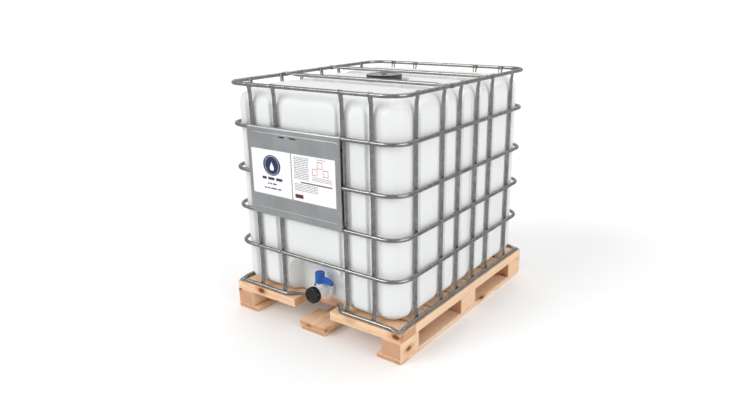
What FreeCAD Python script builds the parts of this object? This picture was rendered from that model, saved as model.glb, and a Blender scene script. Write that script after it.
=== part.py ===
import FreeCAD, Part

import math
import os

# Intermediate bulk container, 1000 litres: a plastic bottle in a steel tube cage on a wood pallet.
# Origin at the centre of the pallet's underside, +Z up, the valve side faces -Y, lengths in mm.

V = FreeCAD.Vector
X_AXIS, Y_AXIS, Z_AXIS = V(1, 0, 0), V(0, 1, 0), V(0, 0, 1)

# Overall
WIDTH = 1000.0
DEPTH = 1200.0
HEIGHT = 1150.0

# Pallet
RUNNER_T = 22.0
OUTER_RUNNER_W = 130.0
CENTRE_RUNNER_W = 145.0
BLOCK_H = 78.0
BLOCK_L = 145.0
OUTER_BLOCK_W = 100.0
CENTRE_BLOCK_W = 145.0
LOW_BLOCK_W = 162.0
LOW_BLOCK_H = 24.0
BOARD_T = 22.0
STRINGER_T = 22.0
SIDE_RAIL_T = 22.0
FRONT_BEAM_W = 120.0
NOTCH_W = 216.0
REAR_BOARD_W = 190.0
MIDDLE_BOARDS = 5
BOARD_GAP = 10.0
NAIL_D = 4.0
NAIL_L = 40.0
NAIL_HEAD_D = 8.0
NAIL_HEAD_T = 1.0
NAIL_PITCH = 90.0

# Cage
CAGE_INSET = 5.0
RING_D = 18.0
BAR_D = 17.0
TUBE_WALL = 1.2
RING_BEND_R = 92.0
HOOP_HEIGHTS = [HEIGHT * share for share in (0.825, 0.642, 0.478, 0.3165)]
FRONT_BAR_X = [WIDTH * share for share in (0.192, 0.342)]
SIDE_BAR_Y = [DEPTH * share for share in (0.0675, 0.188, 0.364)]
BAR_FLAT_W = 25.0
FLAT_T = 5.0
FLAT_W = 24.0
TAPER_L = 34.0
PAD_D = 30.0
PAD_OVERLAP = 4.0
TAIL_OVERLAP = 6.0
VALVE_GAP_HALF = 150.0
GAP_BEND_R = 40.0
GAP_BEND_DEG = 50.0
GAP_TAIL_L = 12.0
CROSS_BAR_Y = 0.155 * DEPTH
WRAP_T = 2.0
WRAP_L = 26.0
FIT_GAP = 0.3
SCREW_D = 5.0
SCREW_L = 30.0
SCREW_HEAD_D = 13.0
SCREW_HEAD_T = 4.0
BOLT_D = 6.0
BOLT_HEAD_AF = 10.0
BOLT_HEAD_T = 4.0
BOLT_INSET = 26.0

# Label plate and labels
PLATE_T = 1.2
PLATE_LEFT_X = -0.350 * WIDTH
PLATE_RIGHT_X = 0.198 * WIDTH
PLATE_HOOK_DEG = 18.0
PLATE_EDGE = 14.0
SLOT_W = 34.0
SLOT_H = 6.0
SLOT_PLACES = (0.36, 0.48)
RIVET_D = 4.0
RIVET_HEAD_D = 9.0
RIVET_HEAD_T = 1.6
LABEL_T = 0.4
LABEL_H = 212.0
LABEL_Z = (HOOP_HEIGHTS[0] + HOOP_HEIGHTS[2]) / 2
LEFT_LABEL_X = (-0.330 * WIDTH, -0.086 * WIDTH)
RIGHT_LABEL_X = (-0.080 * WIDTH, 0.170 * WIDTH)

# Tank
TANK_WALL = 3.0
TANK_BAR_DEPTH = 10.0
GROOVE_W = 56.0
GROOVE_DEPTH = 14.0
TANK_TOP_Z = HEIGHT - 30.0
TANK_EDGE_R = 88.0
TANK_SHOULDER_R = 60.0
TANK_FOOT_R = 40.0
CHANNEL_W = 66.0
CHANNEL_DEPTH = 16.0
POCKET_DEPTH = 18.0
BAY_W = 350.0
BAY_TOP_Z = 338.0
BAY_DEPTH = 92.0
BAY_ARCH_R = 70.0
BAY_FOOT = 60.0

# Filling neck and lid
NECK_D = 156.0
NECK_BORE_D = NECK_D - 14.0
NECK_H = 34.0
LID_D = NECK_D + 18.0
LID_WALL = 6.0
LID_TOP_T = 5.0
LID_H = 42.0
LID_RIBS = 36
LID_RIB_H = 2.0
LID_RAISE = 2.0
LID_RECESS_D = LID_D - 36.0
LID_RECESS_DEPTH = 2.0
GASKET_T = 4.0
GASKET_LIP = 2.0
POCKET_D = LID_D + 62.0
VENT_D = 24.0
VENT_H = 5.0
VENT_STEM_D = 12.0

# Valve
OUTLET_Z = 190.0
BORE_D = 50.0
STUB_D = BORE_D + 12.0
FLANGE_D = STUB_D + 16.0
FLANGE_T = 6.0
STUB_L = 16.0
SPIGOT_D = BORE_D + 10.0
SPIGOT_L = 28.0
NUT_D = FLANGE_D + 16.0
NUT_LIP_T = 4.0
NUT_RIBS = 12
NUT_RIB_H = 2.0
VALVE_NECK_D = 38.0
VALVE_NECK_Z = 234.0
STEM_BACK = 34.0
STEM_D = 12.0
STEM_GAP = 0.08
ORING_T = 2.5
DISC_T = 5.0
DISC_GAP = 0.6
DISC_BOSS_T = 3.0
DISC_BOSS_INSET = 4.0
STEM_SINK = 4.0
HUB_D = 46.0
HUB_H = 52.0
ARM_REACH = 76.0
ARM_H = 32.0
ARM_T = 17.0
LEVER_GAP = 1.0
LEVER_EDGE_R = 2.5
ARM_EDGE_R = 3.0
LOCK_NUB_D = 7.0
LOCK_NUB_L = 7.0
LOCK_NUB_ROOT = 3.0
CAP_D = SPIGOT_D + 18.0
CAP_L = 28.0
CAP_END_T = 4.0
CAP_RIBS = 20
CAP_RIB_H = 1.5
CAP_BORE_GAP = 1.0
CAP_FACE_RAISE = 2.0
CAP_FACE_INSET = 3.0
CAP_SETBACK = 1.0
SEAL_WIRE_D = 2.0
SEAL_TAG_D = 12.0
SEAL_TAG_T = 2.0

# Where a rib's top or a gap's floor starts and ends within its half pitch
RIB_EDGES = (0.12, 0.88)

# Levels and planes worked out from the dimensions above
HALF_W, HALF_D = WIDTH / 2, DEPTH / 2
BLOCK_TOP = RUNNER_T + BLOCK_H
DECK_Z = BLOCK_TOP + STRINGER_T + BOARD_T
RING_R, BAR_R = RING_D / 2, BAR_D / 2
RING_X = HALF_W - CAGE_INSET - RING_R
RING_Y = HALF_D - CAGE_INSET - RING_R
TOP_RING_Z = HEIGHT - WRAP_T - FIT_GAP - RING_R
FOOT_RING_Z = DECK_Z + RING_R
BAR_X = RING_X - RING_R - BAR_R
BAR_Y = RING_Y - RING_R - BAR_R
TANK_X = BAR_X - BAR_R + TANK_BAR_DEPTH
TANK_Y = BAR_Y - BAR_R + TANK_BAR_DEPTH
PLATE_BACK_Y = -(RING_Y + RING_R + FIT_GAP)
PLATE_FRONT_Y = PLATE_BACK_Y - PLATE_T
NECK_Z0 = TANK_TOP_Z - POCKET_DEPTH
NECK_Z1 = NECK_Z0 + NECK_H
LID_Z1 = NECK_Z1 + GASKET_T + 2 * FIT_GAP + LID_TOP_T
LID_Z0 = LID_Z1 - LID_H
BAY_Y = -(TANK_Y - BAY_DEPTH)
STUB_END_Y = BAY_Y - STUB_L
BODY_BACK_Y = STUB_END_Y - GASKET_T
STEM_Y = BODY_BACK_Y - STEM_BACK
CAP_FRONT_Y = -(HALF_D - CAP_SETBACK)
SPIGOT_END_Y = CAP_FRONT_Y + CAP_END_T + GASKET_T + 2 * FIT_GAP
OUTLET_AXIS = -Y_AXIS


def box(x0, x1, y0, y1, z0, z1):
    return Part.makeBox(x1 - x0, y1 - y0, z1 - z0, V(x0, y0, z0))


def rod(radius, start, direction, length):
    return Part.makeCylinder(radius, length, start, direction)


def tube(outer_r, inner_r, start, direction, length):
    """A round sleeve, open at both ends."""
    return rod(outer_r, start, direction, length).cut(rod(inner_r, start, direction, length))


def fuse(shapes):
    joined = shapes[0].multiFuse(shapes[1:])
    return joined.removeSplitter()


def flat_oval(centre, along, wide, half_w, half_t):
    """A closed oval wire for a flattened tube end, its long way along `wide`."""
    oval = Part.Ellipse(V(0, 0, 0), half_w, half_t).toShape()
    thick = along.cross(wide)
    oval.Placement = FreeCAD.Placement(centre, FreeCAD.Rotation(wide, thick, along, "XYZ"))
    return Part.Wire([oval])


def round_wire(centre, along, radius):
    return Part.Wire([Part.makeCircle(radius, centre, along)])


def pinched_end(start, along, wide, radius, flat_w, flat_t, shift, tip_l):
    """Tube end that tapers from round at `start` to a flat tongue, its middle moved by `shift`."""
    flat_at = start + along * TAPER_L + shift
    oval = flat_oval(flat_at, along, wide, flat_w / 2, flat_t / 2)
    taper = Part.makeLoft([round_wire(start, along, radius), oval], True)
    tongue = Part.Face(oval).extrude(along * tip_l)
    return [taper, tongue]


def ribbed_prism(outer_r, inner_r, ribs, start, direction, length):
    """A grip: a prism whose outline steps between two radii, one rib and one gap per pitch."""
    points = []
    for step in range(2 * ribs):
        radius = outer_r if step % 2 == 0 else inner_r
        for edge in RIB_EDGES:
            angle = math.pi * (step + edge) / ribs
            points.append(V(radius * math.cos(angle), radius * math.sin(angle), 0))
    points.append(points[0])
    prism = Part.Face(Part.makePolygon(points)).extrude(Z_AXIS * length)
    prism.Placement = FreeCAD.Placement(start, FreeCAD.Rotation(Z_AXIS, direction))
    return prism


# ---- Pallet ----

def runners():
    outer = HALF_W - OUTER_RUNNER_W
    half = CENTRE_RUNNER_W / 2
    spans = {"left": (-HALF_W, -outer), "centre": (-half, half), "right": (outer, HALF_W)}
    return {
        "pallet_runner_" + side: box(x0, x1, -HALF_D, HALF_D, 0, RUNNER_T)
        for side, (x0, x1) in spans.items()
    }


def blocks():
    inner = HALF_W - OUTER_BLOCK_W
    half = CENTRE_BLOCK_W / 2
    rows = {
        "front": (-HALF_D, -HALF_D + BLOCK_L),
        "middle": (-BLOCK_L / 2, BLOCK_L / 2),
        "rear": (HALF_D - BLOCK_L, HALF_D),
    }
    columns = {"left": (-HALF_W, -inner), "centre": (-half, half), "right": (inner, HALF_W)}
    made = {}
    for row, (y0, y1) in rows.items():
        for column, (x0, x1) in columns.items():
            made[f"pallet_block_{row}_{column}"] = box(x0, x1, y0, y1, RUNNER_T, BLOCK_TOP)
    low = box(-LOW_BLOCK_W / 2, LOW_BLOCK_W / 2, -HALF_D, -HALF_D + BLOCK_L, RUNNER_T,
              RUNNER_T + LOW_BLOCK_H)
    made["pallet_block_front_centre"] = low
    return made


def beam_back_y():
    return -HALF_D + FRONT_BEAM_W


def stringers():
    y0, y1 = beam_back_y(), HALF_D
    inner = HALF_W - OUTER_BLOCK_W
    outer = HALF_W - SIDE_RAIL_T
    half = CENTRE_BLOCK_W / 2
    spans = {"left": (-outer, -inner), "centre": (-half, half), "right": (inner, outer)}
    return {
        "pallet_stringer_" + side: box(x0, x1, y0, y1, BLOCK_TOP, BLOCK_TOP + STRINGER_T)
        for side, (x0, x1) in spans.items()
    }


def rails_and_beams():
    inner = HALF_W - SIDE_RAIL_T
    notch = NOTCH_W / 2
    y0 = beam_back_y()
    return {
        "pallet_rail_left": box(-HALF_W, -inner, y0, HALF_D, BLOCK_TOP, DECK_Z),
        "pallet_rail_right": box(inner, HALF_W, y0, HALF_D, BLOCK_TOP, DECK_Z),
        "pallet_beam_left": box(-HALF_W, -notch, -HALF_D, y0, BLOCK_TOP, DECK_Z),
        "pallet_beam_right": box(notch, HALF_W, -HALF_D, y0, BLOCK_TOP, DECK_Z),
    }


def board_spans():
    """Front and back edges of the deck boards, the wide rear board last."""
    room = HALF_D - REAR_BOARD_W - beam_back_y()
    board_w = room / MIDDLE_BOARDS - BOARD_GAP
    spans = []
    for index in range(MIDDLE_BOARDS):
        y0 = beam_back_y() + BOARD_GAP + index * (board_w + BOARD_GAP)
        spans.append((y0, y0 + board_w))
    spans[-1] = (spans[-1][0], HALF_D - REAR_BOARD_W - BOARD_GAP)
    spans.append((HALF_D - REAR_BOARD_W, HALF_D))
    return spans


def deck_boards():
    half = HALF_W - SIDE_RAIL_T
    return {
        f"deck_board_{number}": box(-half, half, y0, y1, DECK_Z - BOARD_T, DECK_Z)
        for number, (y0, y1) in enumerate(board_spans(), 1)
    }


def nail(x, y):
    head = rod(NAIL_HEAD_D / 2, V(x, y, DECK_Z), -Z_AXIS, NAIL_HEAD_T)
    return head.fuse(rod(NAIL_D / 2, V(x, y, DECK_Z), -Z_AXIS, NAIL_L)).removeSplitter()


def nails():
    """Two nails where each deck board crosses a stringer."""
    column_x = HALF_W - (OUTER_BLOCK_W + SIDE_RAIL_T) / 2
    made = []
    for y0, y1 in board_spans():
        middle = (y0 + y1) / 2
        for x in (-column_x, 0, column_x):
            for side in (-1, 1):
                made.append(nail(x + side * NAIL_HEAD_D, middle + side * NAIL_PITCH / 2))
    return made


# ---- Cage ----

def hoop_core(z, radius):
    """Solid of a closed hoop: four straight runs and four quarter bends."""
    straight_x, straight_y = RING_X - RING_BEND_R, RING_Y - RING_BEND_R
    pieces = []
    for side in (-1, 1):
        pieces.append(rod(radius, V(-straight_x, side * RING_Y, z), X_AXIS, 2 * straight_x))
        pieces.append(rod(radius, V(side * RING_X, -straight_y, z), Y_AXIS, 2 * straight_y))
    for quarter, (sx, sy) in enumerate(((1, 1), (-1, 1), (-1, -1), (1, -1))):
        bend = Part.makeTorus(RING_BEND_R, radius, V(0, 0, 0), Z_AXIS, -180, 180, 90)
        bend.rotate(V(0, 0, 0), Z_AXIS, 90 * quarter)
        bend.translate(V(sx * straight_x, sy * straight_y, z))
        pieces.append(bend)
    return fuse(pieces)


def closed_ring(z):
    """Hoop bent from tube and welded into a ring, hollow all round."""
    return hoop_core(z, RING_R).cut(hoop_core(z, RING_R - TUBE_WALL))


def pad(x, y):
    """Round flat under a screw, where the bottom hoop is pinched down on the deck."""
    return rod(PAD_D / 2, V(x, y, DECK_Z), Z_AXIS, FLAT_T)


def pad_points():
    """Corner pads of the bottom hoop, their outer edges in line with the tube's."""
    inset = PAD_D / 2 - RING_R
    return [(sx * (RING_X - inset), sy * (RING_Y - inset)) for sx in (-1, 1) for sy in (-1, 1)]


def gap_tips():
    """Start point and direction of the bottom hoop's inward tails at the valve, left and right."""
    turn = math.radians(GAP_BEND_DEG)
    reach = GAP_BEND_R * math.sin(turn)
    rise = GAP_BEND_R * (1 - math.cos(turn))
    tips = []
    for side in (-1, 1):
        start = V(side * (VALVE_GAP_HALF + reach), -RING_Y, FOOT_RING_Z)
        end = V(side * VALVE_GAP_HALF, -RING_Y + rise, FOOT_RING_Z)
        along = V(-side * math.cos(turn), math.sin(turn), 0)
        tips.append((side, start, end, along))
    return tips


def tail_pad(end, along):
    centre = end + along * (GAP_TAIL_L + TAPER_L + PAD_D / 2)
    return centre.x, centre.y


def pinched_run(start, end, pinch_start, pinch_end):
    """Straight tube of the bottom hoop between two points, pinched flat at the ends that ask."""
    along = (end - start).normalize()
    wide = Z_AXIS.cross(along)
    drop = V(0, 0, FLAT_T / 2 - RING_R)
    inset = TAPER_L + PAD_D / 2 - PAD_OVERLAP
    first = start + along * inset if pinch_start else start
    last = end - along * inset if pinch_end else end
    length = (last - first).Length
    pieces = [rod(RING_R, first, along, length)]
    if pinch_start:
        pieces += pinched_end(first, -along, wide, RING_R, FLAT_W, FLAT_T, drop, PAD_OVERLAP)
    if pinch_end:
        pieces += pinched_end(last, along, wide, RING_R, FLAT_W, FLAT_T, drop, PAD_OVERLAP)
    return pieces, [rod(RING_R - TUBE_WALL, first, along, length)]


def gap_tail(side, start, end, along):
    """Inward bend and short tail of the bottom hoop beside the valve, pinched on a pad."""
    drop = V(0, 0, FLAT_T / 2 - RING_R)
    first_angle = 270 if side < 0 else 270 - GAP_BEND_DEG
    solid, hollow = [], []
    for made, radius in ((solid, RING_R), (hollow, RING_R - TUBE_WALL)):
        bend = Part.makeTorus(GAP_BEND_R, radius, V(0, 0, 0), Z_AXIS, -180, 180, GAP_BEND_DEG)
        bend.rotate(V(0, 0, 0), Z_AXIS, first_angle)
        bend.translate(start + V(0, GAP_BEND_R, 0))
        made.append(bend)
        made.append(rod(radius, end, along, GAP_TAIL_L))
    solid += pinched_end(end + along * GAP_TAIL_L, along, Z_AXIS.cross(along), RING_R, FLAT_W,
                         FLAT_T, drop, TAIL_OVERLAP)
    solid.append(pad(*tail_pad(end, along)))
    return solid, hollow


def bottom_ring():
    """Bottom hoop: pinched down at the corners, open at the valve with its ends bent inward."""
    corner = {(sx, sy): V(sx * RING_X, sy * RING_Y, FOOT_RING_Z) for sx in (-1, 1) for sy in (-1, 1)}
    runs = [pinched_run(corner[-1, 1], corner[1, 1], True, True)]
    for side, start, end, along in gap_tips():
        runs.append(pinched_run(corner[side, -1], corner[side, 1], True, True))
        runs.append(pinched_run(corner[side, -1], start, True, False))
        runs.append(gap_tail(side, start, end, along))
    solid = [pad(x, y) for x, y in pad_points()]
    hollow = []
    for run_solid, run_hollow in runs:
        solid += run_solid
        hollow += run_hollow
    return fuse(solid).cut(hollow)


def foot_screws():
    points = pad_points() + [tail_pad(end, along) for _, _, end, along in gap_tips()]
    made = []
    for x, y in points:
        head = Part.makeCone(SCREW_HEAD_D / 2, SCREW_HEAD_D / 3, SCREW_HEAD_T,
                             V(x, y, DECK_Z + FLAT_T), Z_AXIS)
        shank = rod(SCREW_D / 2, V(x, y, DECK_Z + FLAT_T), -Z_AXIS, SCREW_L)
        made.append(head.fuse(shank).removeSplitter())
    return made


def upright(x, y, outward):
    """Vertical bar inside the hoops, its ends pressed flat and set out against the end hoops."""
    straight_z0 = FOOT_RING_Z + RING_R + TAPER_L
    straight_z1 = TOP_RING_Z - RING_R - TAPER_L
    wide = Z_AXIS.cross(outward)
    shift = outward * (BAR_R - FLAT_T / 2)
    centre = V(x, y, 0)
    low, high = centre + Z_AXIS * straight_z0, centre + Z_AXIS * straight_z1
    pieces = [rod(BAR_R, low, Z_AXIS, straight_z1 - straight_z0)]
    pieces += pinched_end(high, Z_AXIS, wide, BAR_R, BAR_FLAT_W, FLAT_T, shift, RING_D)
    pieces += pinched_end(low, -Z_AXIS, wide, BAR_R, BAR_FLAT_W, FLAT_T, shift, RING_D - FLAT_T)
    return fuse(pieces).cut(rod(BAR_R - TUBE_WALL, low, Z_AXIS, straight_z1 - straight_z0))


def bar_places():
    """Position and outward direction of every vertical bar, by the side it stands on."""
    front_x = sorted([-x for x in FRONT_BAR_X] + list(FRONT_BAR_X))
    side_y = sorted([-y for y in SIDE_BAR_Y] + list(SIDE_BAR_Y))
    return {
        "cage_bars_front": [(x, -BAR_Y, -Y_AXIS) for x in front_x],
        "cage_bars_back": [(x, BAR_Y, Y_AXIS) for x in front_x],
        "cage_bars_left": [(-BAR_X, y, -X_AXIS) for y in side_y],
        "cage_bars_right": [(BAR_X, y, X_AXIS) for y in side_y],
    }


def cross_bar(y):
    """Tube over the tank: its flattened ends wrap round the top hoop and are bolted."""
    wrap_in, wrap_out = RING_R + FIT_GAP, RING_R + FIT_GAP + WRAP_T
    tongue_x = RING_X - wrap_out + WRAP_T / 2
    tip_l = BOLT_INSET + BOLT_HEAD_AF
    straight = tongue_x - tip_l - TAPER_L
    pieces = [rod(RING_R, V(-straight, y, TOP_RING_Z), X_AXIS, 2 * straight)]
    for side in (-1, 1):
        start = V(side * straight, y, TOP_RING_Z)
        along = X_AXIS * side
        pieces += pinched_end(start, along, Y_AXIS, RING_R, FLAT_W, FLAT_T, V(0, 0, 0), tip_l)
        pieces.append(rod(wrap_out, V(side * RING_X, y - WRAP_L / 2, TOP_RING_Z), Y_AXIS, WRAP_L))
    bar = fuse(pieces).cut(rod(RING_R - TUBE_WALL, V(-straight, y, TOP_RING_Z), X_AXIS, 2 * straight))
    for side in (-1, 1):
        bar = bar.cut(rod(wrap_in, V(side * RING_X, y - WRAP_L, TOP_RING_Z), Y_AXIS, 2 * WRAP_L))
    return bar


def hexagon(across_flats, centre, height):
    corner_r = across_flats / math.sqrt(3)
    turns = [math.radians(60 * k) for k in range(6)]
    points = [centre + V(corner_r * math.cos(turn), corner_r * math.sin(turn), 0) for turn in turns]
    return Part.Face(Part.makePolygon(points + [points[0]])).extrude(Z_AXIS * height)


def cross_bar_bolts():
    """A bolt with its nut through each flattened cross bar end."""
    x = RING_X - RING_R - FIT_GAP - WRAP_T - BOLT_INSET / 2
    made = []
    for side in (-1, 1):
        for y in (-CROSS_BAR_Y, CROSS_BAR_Y):
            top = V(side * x, y, TOP_RING_Z + FLAT_T / 2)
            bottom = V(side * x, y, TOP_RING_Z - FLAT_T / 2)
            shank = rod(BOLT_D / 2, bottom - Z_AXIS * BOLT_HEAD_T, Z_AXIS, FLAT_T + BOLT_HEAD_T)
            nut = hexagon(BOLT_HEAD_AF, bottom - Z_AXIS * BOLT_HEAD_T, BOLT_HEAD_T)
            made.append(fuse([shank, nut, hexagon(BOLT_HEAD_AF, top, BOLT_HEAD_T)]))
    return made


# ---- Label plate ----

def label_plate():
    """Sheet in front of the middle hoops, its top and bottom edges hooked over two of them."""
    z_high, z_low = HOOP_HEIGHTS[0], HOOP_HEIGHTS[2]
    length = PLATE_RIGHT_X - PLATE_LEFT_X
    sheet = box(PLATE_LEFT_X, PLATE_RIGHT_X, PLATE_FRONT_Y, PLATE_BACK_Y, z_low, z_high)
    pieces = [sheet]
    for z, upper in ((z_high, True), (z_low, False)):
        start = V(PLATE_LEFT_X, -RING_Y, z)
        hook = tube(RING_R + FIT_GAP + PLATE_T, RING_R + FIT_GAP, start, X_AXIS, length)
        reach = math.tan(math.radians(PLATE_HOOK_DEG)) * RING_D
        low, high = (z, z + RING_D) if upper else (z - RING_D, z)
        edge_y = -RING_Y + reach / 2
        pieces.append(hook.common(box(PLATE_LEFT_X, PLATE_RIGHT_X, -HALF_D, edge_y, low, high)))
    plate = fuse(pieces)
    for x in [PLATE_LEFT_X + length * share for share in SLOT_PLACES]:
        z = z_high - RING_D - PLATE_EDGE
        plate = plate.cut(box(x, x + SLOT_W, PLATE_FRONT_Y - 1, PLATE_BACK_Y + 1, z, z + SLOT_H))
    return plate


def plate_rivets():
    """Blind rivets through the plate into the two hoops that carry it."""
    made = []
    for x in (PLATE_LEFT_X + PLATE_EDGE, PLATE_RIGHT_X - PLATE_EDGE):
        for z in (HOOP_HEIGHTS[0], HOOP_HEIGHTS[2]):
            head = rod(RIVET_HEAD_D / 2, V(x, PLATE_FRONT_Y, z), -Y_AXIS, RIVET_HEAD_T)
            shank = rod(RIVET_D / 2, V(x, PLATE_FRONT_Y, z), Y_AXIS, PLATE_T + FIT_GAP + RING_R)
            made.append(head.fuse(shank).removeSplitter())
    return made


def labels():
    z0, z1 = LABEL_Z - LABEL_H / 2, LABEL_Z + LABEL_H / 2
    spans = {"label_left": LEFT_LABEL_X, "label_right": RIGHT_LABEL_X}
    return {
        name: box(x0, x1, PLATE_FRONT_Y - LABEL_T, PLATE_FRONT_Y, z0, z1)
        for name, (x0, x1) in spans.items()
    }


# ---- Tank ----

def outlet_rod(radius, back_y, length):
    return rod(radius, V(0, back_y, OUTLET_Z), OUTLET_AXIS, length)


def outlet_tube(outer_r, inner_r, back_y, length):
    return tube(outer_r, inner_r, V(0, back_y, OUTLET_Z), OUTLET_AXIS, length)


def rounded_block(half_x, half_y, z0, z1, edge_r, shoulder_r, foot_r):
    """Upright block with rounded vertical edges, then a rounded shoulder and foot."""
    block = box(-half_x, half_x, -half_y, half_y, z0, z1)
    uprights = [e for e in block.Edges if abs(e.tangentAt(e.FirstParameter).z) > 0.9]
    block = block.makeFillet(edge_r, uprights)
    top = [e for e in block.Edges if e.BoundBox.ZMin > z1 - 0.01]
    block = block.makeFillet(shoulder_r, top)
    foot = [e for e in block.Edges if e.BoundBox.ZMax < z0 + 0.01]
    return block.makeFillet(foot_r, foot)


def bay_block(grow):
    """Space for the valve at the foot of the front, with an arched top."""
    half = BAY_W / 2 + grow
    top = BAY_TOP_Z + grow
    block = box(-half, half, -HALF_D, BAY_Y + grow, DECK_Z - BAY_FOOT, top)
    arch = [
        e for e in block.Edges
        if e.BoundBox.ZMin > top - 0.01 and abs(e.tangentAt(e.FirstParameter).y) > 0.9
    ]
    return block.makeFillet(BAY_ARCH_R + grow, arch)


def tank_form(inset):
    """The bottle's shape moved in by `inset`: grooves for the bars, channels, lid pocket and bay."""
    form = rounded_block(TANK_X - inset, TANK_Y - inset, DECK_Z + inset, TANK_TOP_Z - inset,
                         TANK_EDGE_R - inset, TANK_SHOULDER_R - inset, TANK_FOOT_R - inset)
    cuts = [bay_block(inset)]
    half = GROOVE_W / 2 + inset
    floor_x, floor_y = TANK_X - GROOVE_DEPTH - inset, TANK_Y - GROOVE_DEPTH - inset
    for places in bar_places().values():
        for x, y, outward in places:
            if abs(outward.x) > 0:
                edges = sorted((outward.x * floor_x, outward.x * HALF_W))
                cuts.append(box(*edges, y - half, y + half, 0, HEIGHT))
            else:
                edges = sorted((outward.y * floor_y, outward.y * HALF_D))
                cuts.append(box(x - half, x + half, *edges, 0, HEIGHT))
    floor_z = TANK_TOP_Z - CHANNEL_DEPTH - inset
    for side in (-1, 1):
        middle = side * CROSS_BAR_Y
        half = CHANNEL_W / 2 + inset
        cuts.append(box(-HALF_W, HALF_W, middle - half, middle + half, floor_z, HEIGHT))
    cuts.append(rod(POCKET_D / 2 + inset, V(0, 0, NECK_Z0 - inset), Z_AXIS, HEIGHT))
    return form.cut(cuts)


def tank():
    """Hollow bottle with the holes that its neck and its outlet stub are welded into."""
    neck_hole = rod(NECK_D / 2, V(0, 0, NECK_Z0 - 2 * TANK_WALL), Z_AXIS, 4 * TANK_WALL)
    outlet_hole = rod(STUB_D / 2, V(0, BAY_Y + 2 * TANK_WALL, OUTLET_Z), OUTLET_AXIS, 4 * TANK_WALL)
    return tank_form(0).cut([tank_form(TANK_WALL), neck_hole, outlet_hole])


def tank_neck():
    """Filling neck, welded into the bottle's top."""
    foot = V(0, 0, NECK_Z0 - TANK_WALL)
    return tube(NECK_D / 2, NECK_BORE_D / 2, foot, Z_AXIS, NECK_H + TANK_WALL)


def tank_outlet():
    """Outlet stub with its flange, welded into the wall of the bay."""
    stub = outlet_rod(STUB_D / 2, BAY_Y + TANK_WALL, STUB_L + TANK_WALL)
    lip = outlet_rod(FLANGE_D / 2, STUB_END_Y + FLANGE_T, FLANGE_T)
    return stub.fuse(lip).removeSplitter().cut(outlet_rod(BORE_D / 2, BAY_Y + STUB_L, DEPTH / 4))


# ---- Lid ----

def lid():
    """Ribbed screw lid with a shallow recess in its top and a hole for the vent plug."""
    grip = ribbed_prism(LID_D / 2, LID_D / 2 - LID_RIB_H, LID_RIBS, V(0, 0, LID_Z0), Z_AXIS,
                        LID_H - LID_RAISE)
    crown = rod(LID_D / 2 - 2 * LID_RIB_H, V(0, 0, LID_Z1 - LID_RAISE), Z_AXIS, LID_RAISE)
    hollow = rod(LID_D / 2 - LID_WALL, V(0, 0, LID_Z0), Z_AXIS, LID_H - LID_TOP_T)
    recess = rod(LID_RECESS_D / 2, V(0, 0, LID_Z1 - LID_RECESS_DEPTH), Z_AXIS, LID_RECESS_DEPTH)
    vent_hole = rod(VENT_STEM_D / 2, V(0, 0, LID_Z0), Z_AXIS, LID_H)
    return fuse([grip, crown]).cut([hollow, recess, vent_hole])


def lid_vent_plug():
    seat_z = LID_Z1 - LID_RECESS_DEPTH
    button = rod(VENT_D / 2, V(0, 0, seat_z), Z_AXIS, VENT_H - LID_RECESS_DEPTH)
    stem_l = LID_TOP_T - LID_RECESS_DEPTH
    return button.fuse(rod(VENT_STEM_D / 2, V(0, 0, seat_z), -Z_AXIS, stem_l)).removeSplitter()


def lid_gasket():
    seat = V(0, 0, NECK_Z1 + FIT_GAP)
    return tube(LID_D / 2 - LID_WALL - FIT_GAP, NECK_BORE_D / 2, seat, Z_AXIS, GASKET_T)


# ---- Valve ----

def valve_gasket():
    return outlet_tube(FLANGE_D / 2 - GASKET_LIP, BORE_D / 2, STUB_END_Y, GASKET_T)


def union_nut():
    """Ribbed nut that pulls the valve's flange against the tank's flange."""
    start_y = STUB_END_Y + FLANGE_T + NUT_LIP_T
    length = NUT_LIP_T + 2 * FLANGE_T + GASKET_T
    start = V(0, start_y, OUTLET_Z)
    grip = ribbed_prism(NUT_D / 2, NUT_D / 2 - NUT_RIB_H, NUT_RIBS, start, OUTLET_AXIS, length)
    wide = outlet_rod(FLANGE_D / 2 + FIT_GAP, start_y - NUT_LIP_T, length)
    narrow = outlet_rod(STUB_D / 2 + FIT_GAP, start_y + 1, length)
    return grip.cut([wide, narrow])


def disc_radius():
    return BORE_D / 2 - DISC_GAP


def valve_body():
    """Butterfly valve body: flange, barrel, threaded spigot and the neck for the stem."""
    barrel_l = BODY_BACK_Y - SPIGOT_END_Y - SPIGOT_L
    pieces = [
        outlet_rod(FLANGE_D / 2, BODY_BACK_Y, FLANGE_T),
        outlet_rod(STUB_D / 2, BODY_BACK_Y, barrel_l),
        outlet_rod(SPIGOT_D / 2, BODY_BACK_Y, BODY_BACK_Y - SPIGOT_END_Y),
        rod(VALVE_NECK_D / 2, V(0, STEM_Y, OUTLET_Z), Z_AXIS, VALVE_NECK_Z - OUTLET_Z),
    ]
    body = fuse(pieces).cut(outlet_rod(BORE_D / 2, BODY_BACK_Y + 1, DEPTH / 4))
    stem_hole = rod(STEM_D / 2 + STEM_GAP, V(0, STEM_Y, stem_low_z() - FIT_GAP), Z_AXIS, HEIGHT)
    ring_z = oring_z() - FIT_GAP
    ring_pocket = rod(STEM_D / 2 + ORING_T + FIT_GAP, V(0, STEM_Y, ring_z), Z_AXIS, HEIGHT)
    return body.cut([stem_hole, ring_pocket])


def stem_low_z():
    return OUTLET_Z - BORE_D / 2 - STEM_SINK


def oring_z():
    return VALVE_NECK_Z - 2 * ORING_T


def valve_stem():
    """Stem that carries the disc and stands up into the lever."""
    return rod(STEM_D / 2, V(0, STEM_Y, stem_low_z()), Z_AXIS, VALVE_NECK_Z + HUB_H / 2 - stem_low_z())


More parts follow.
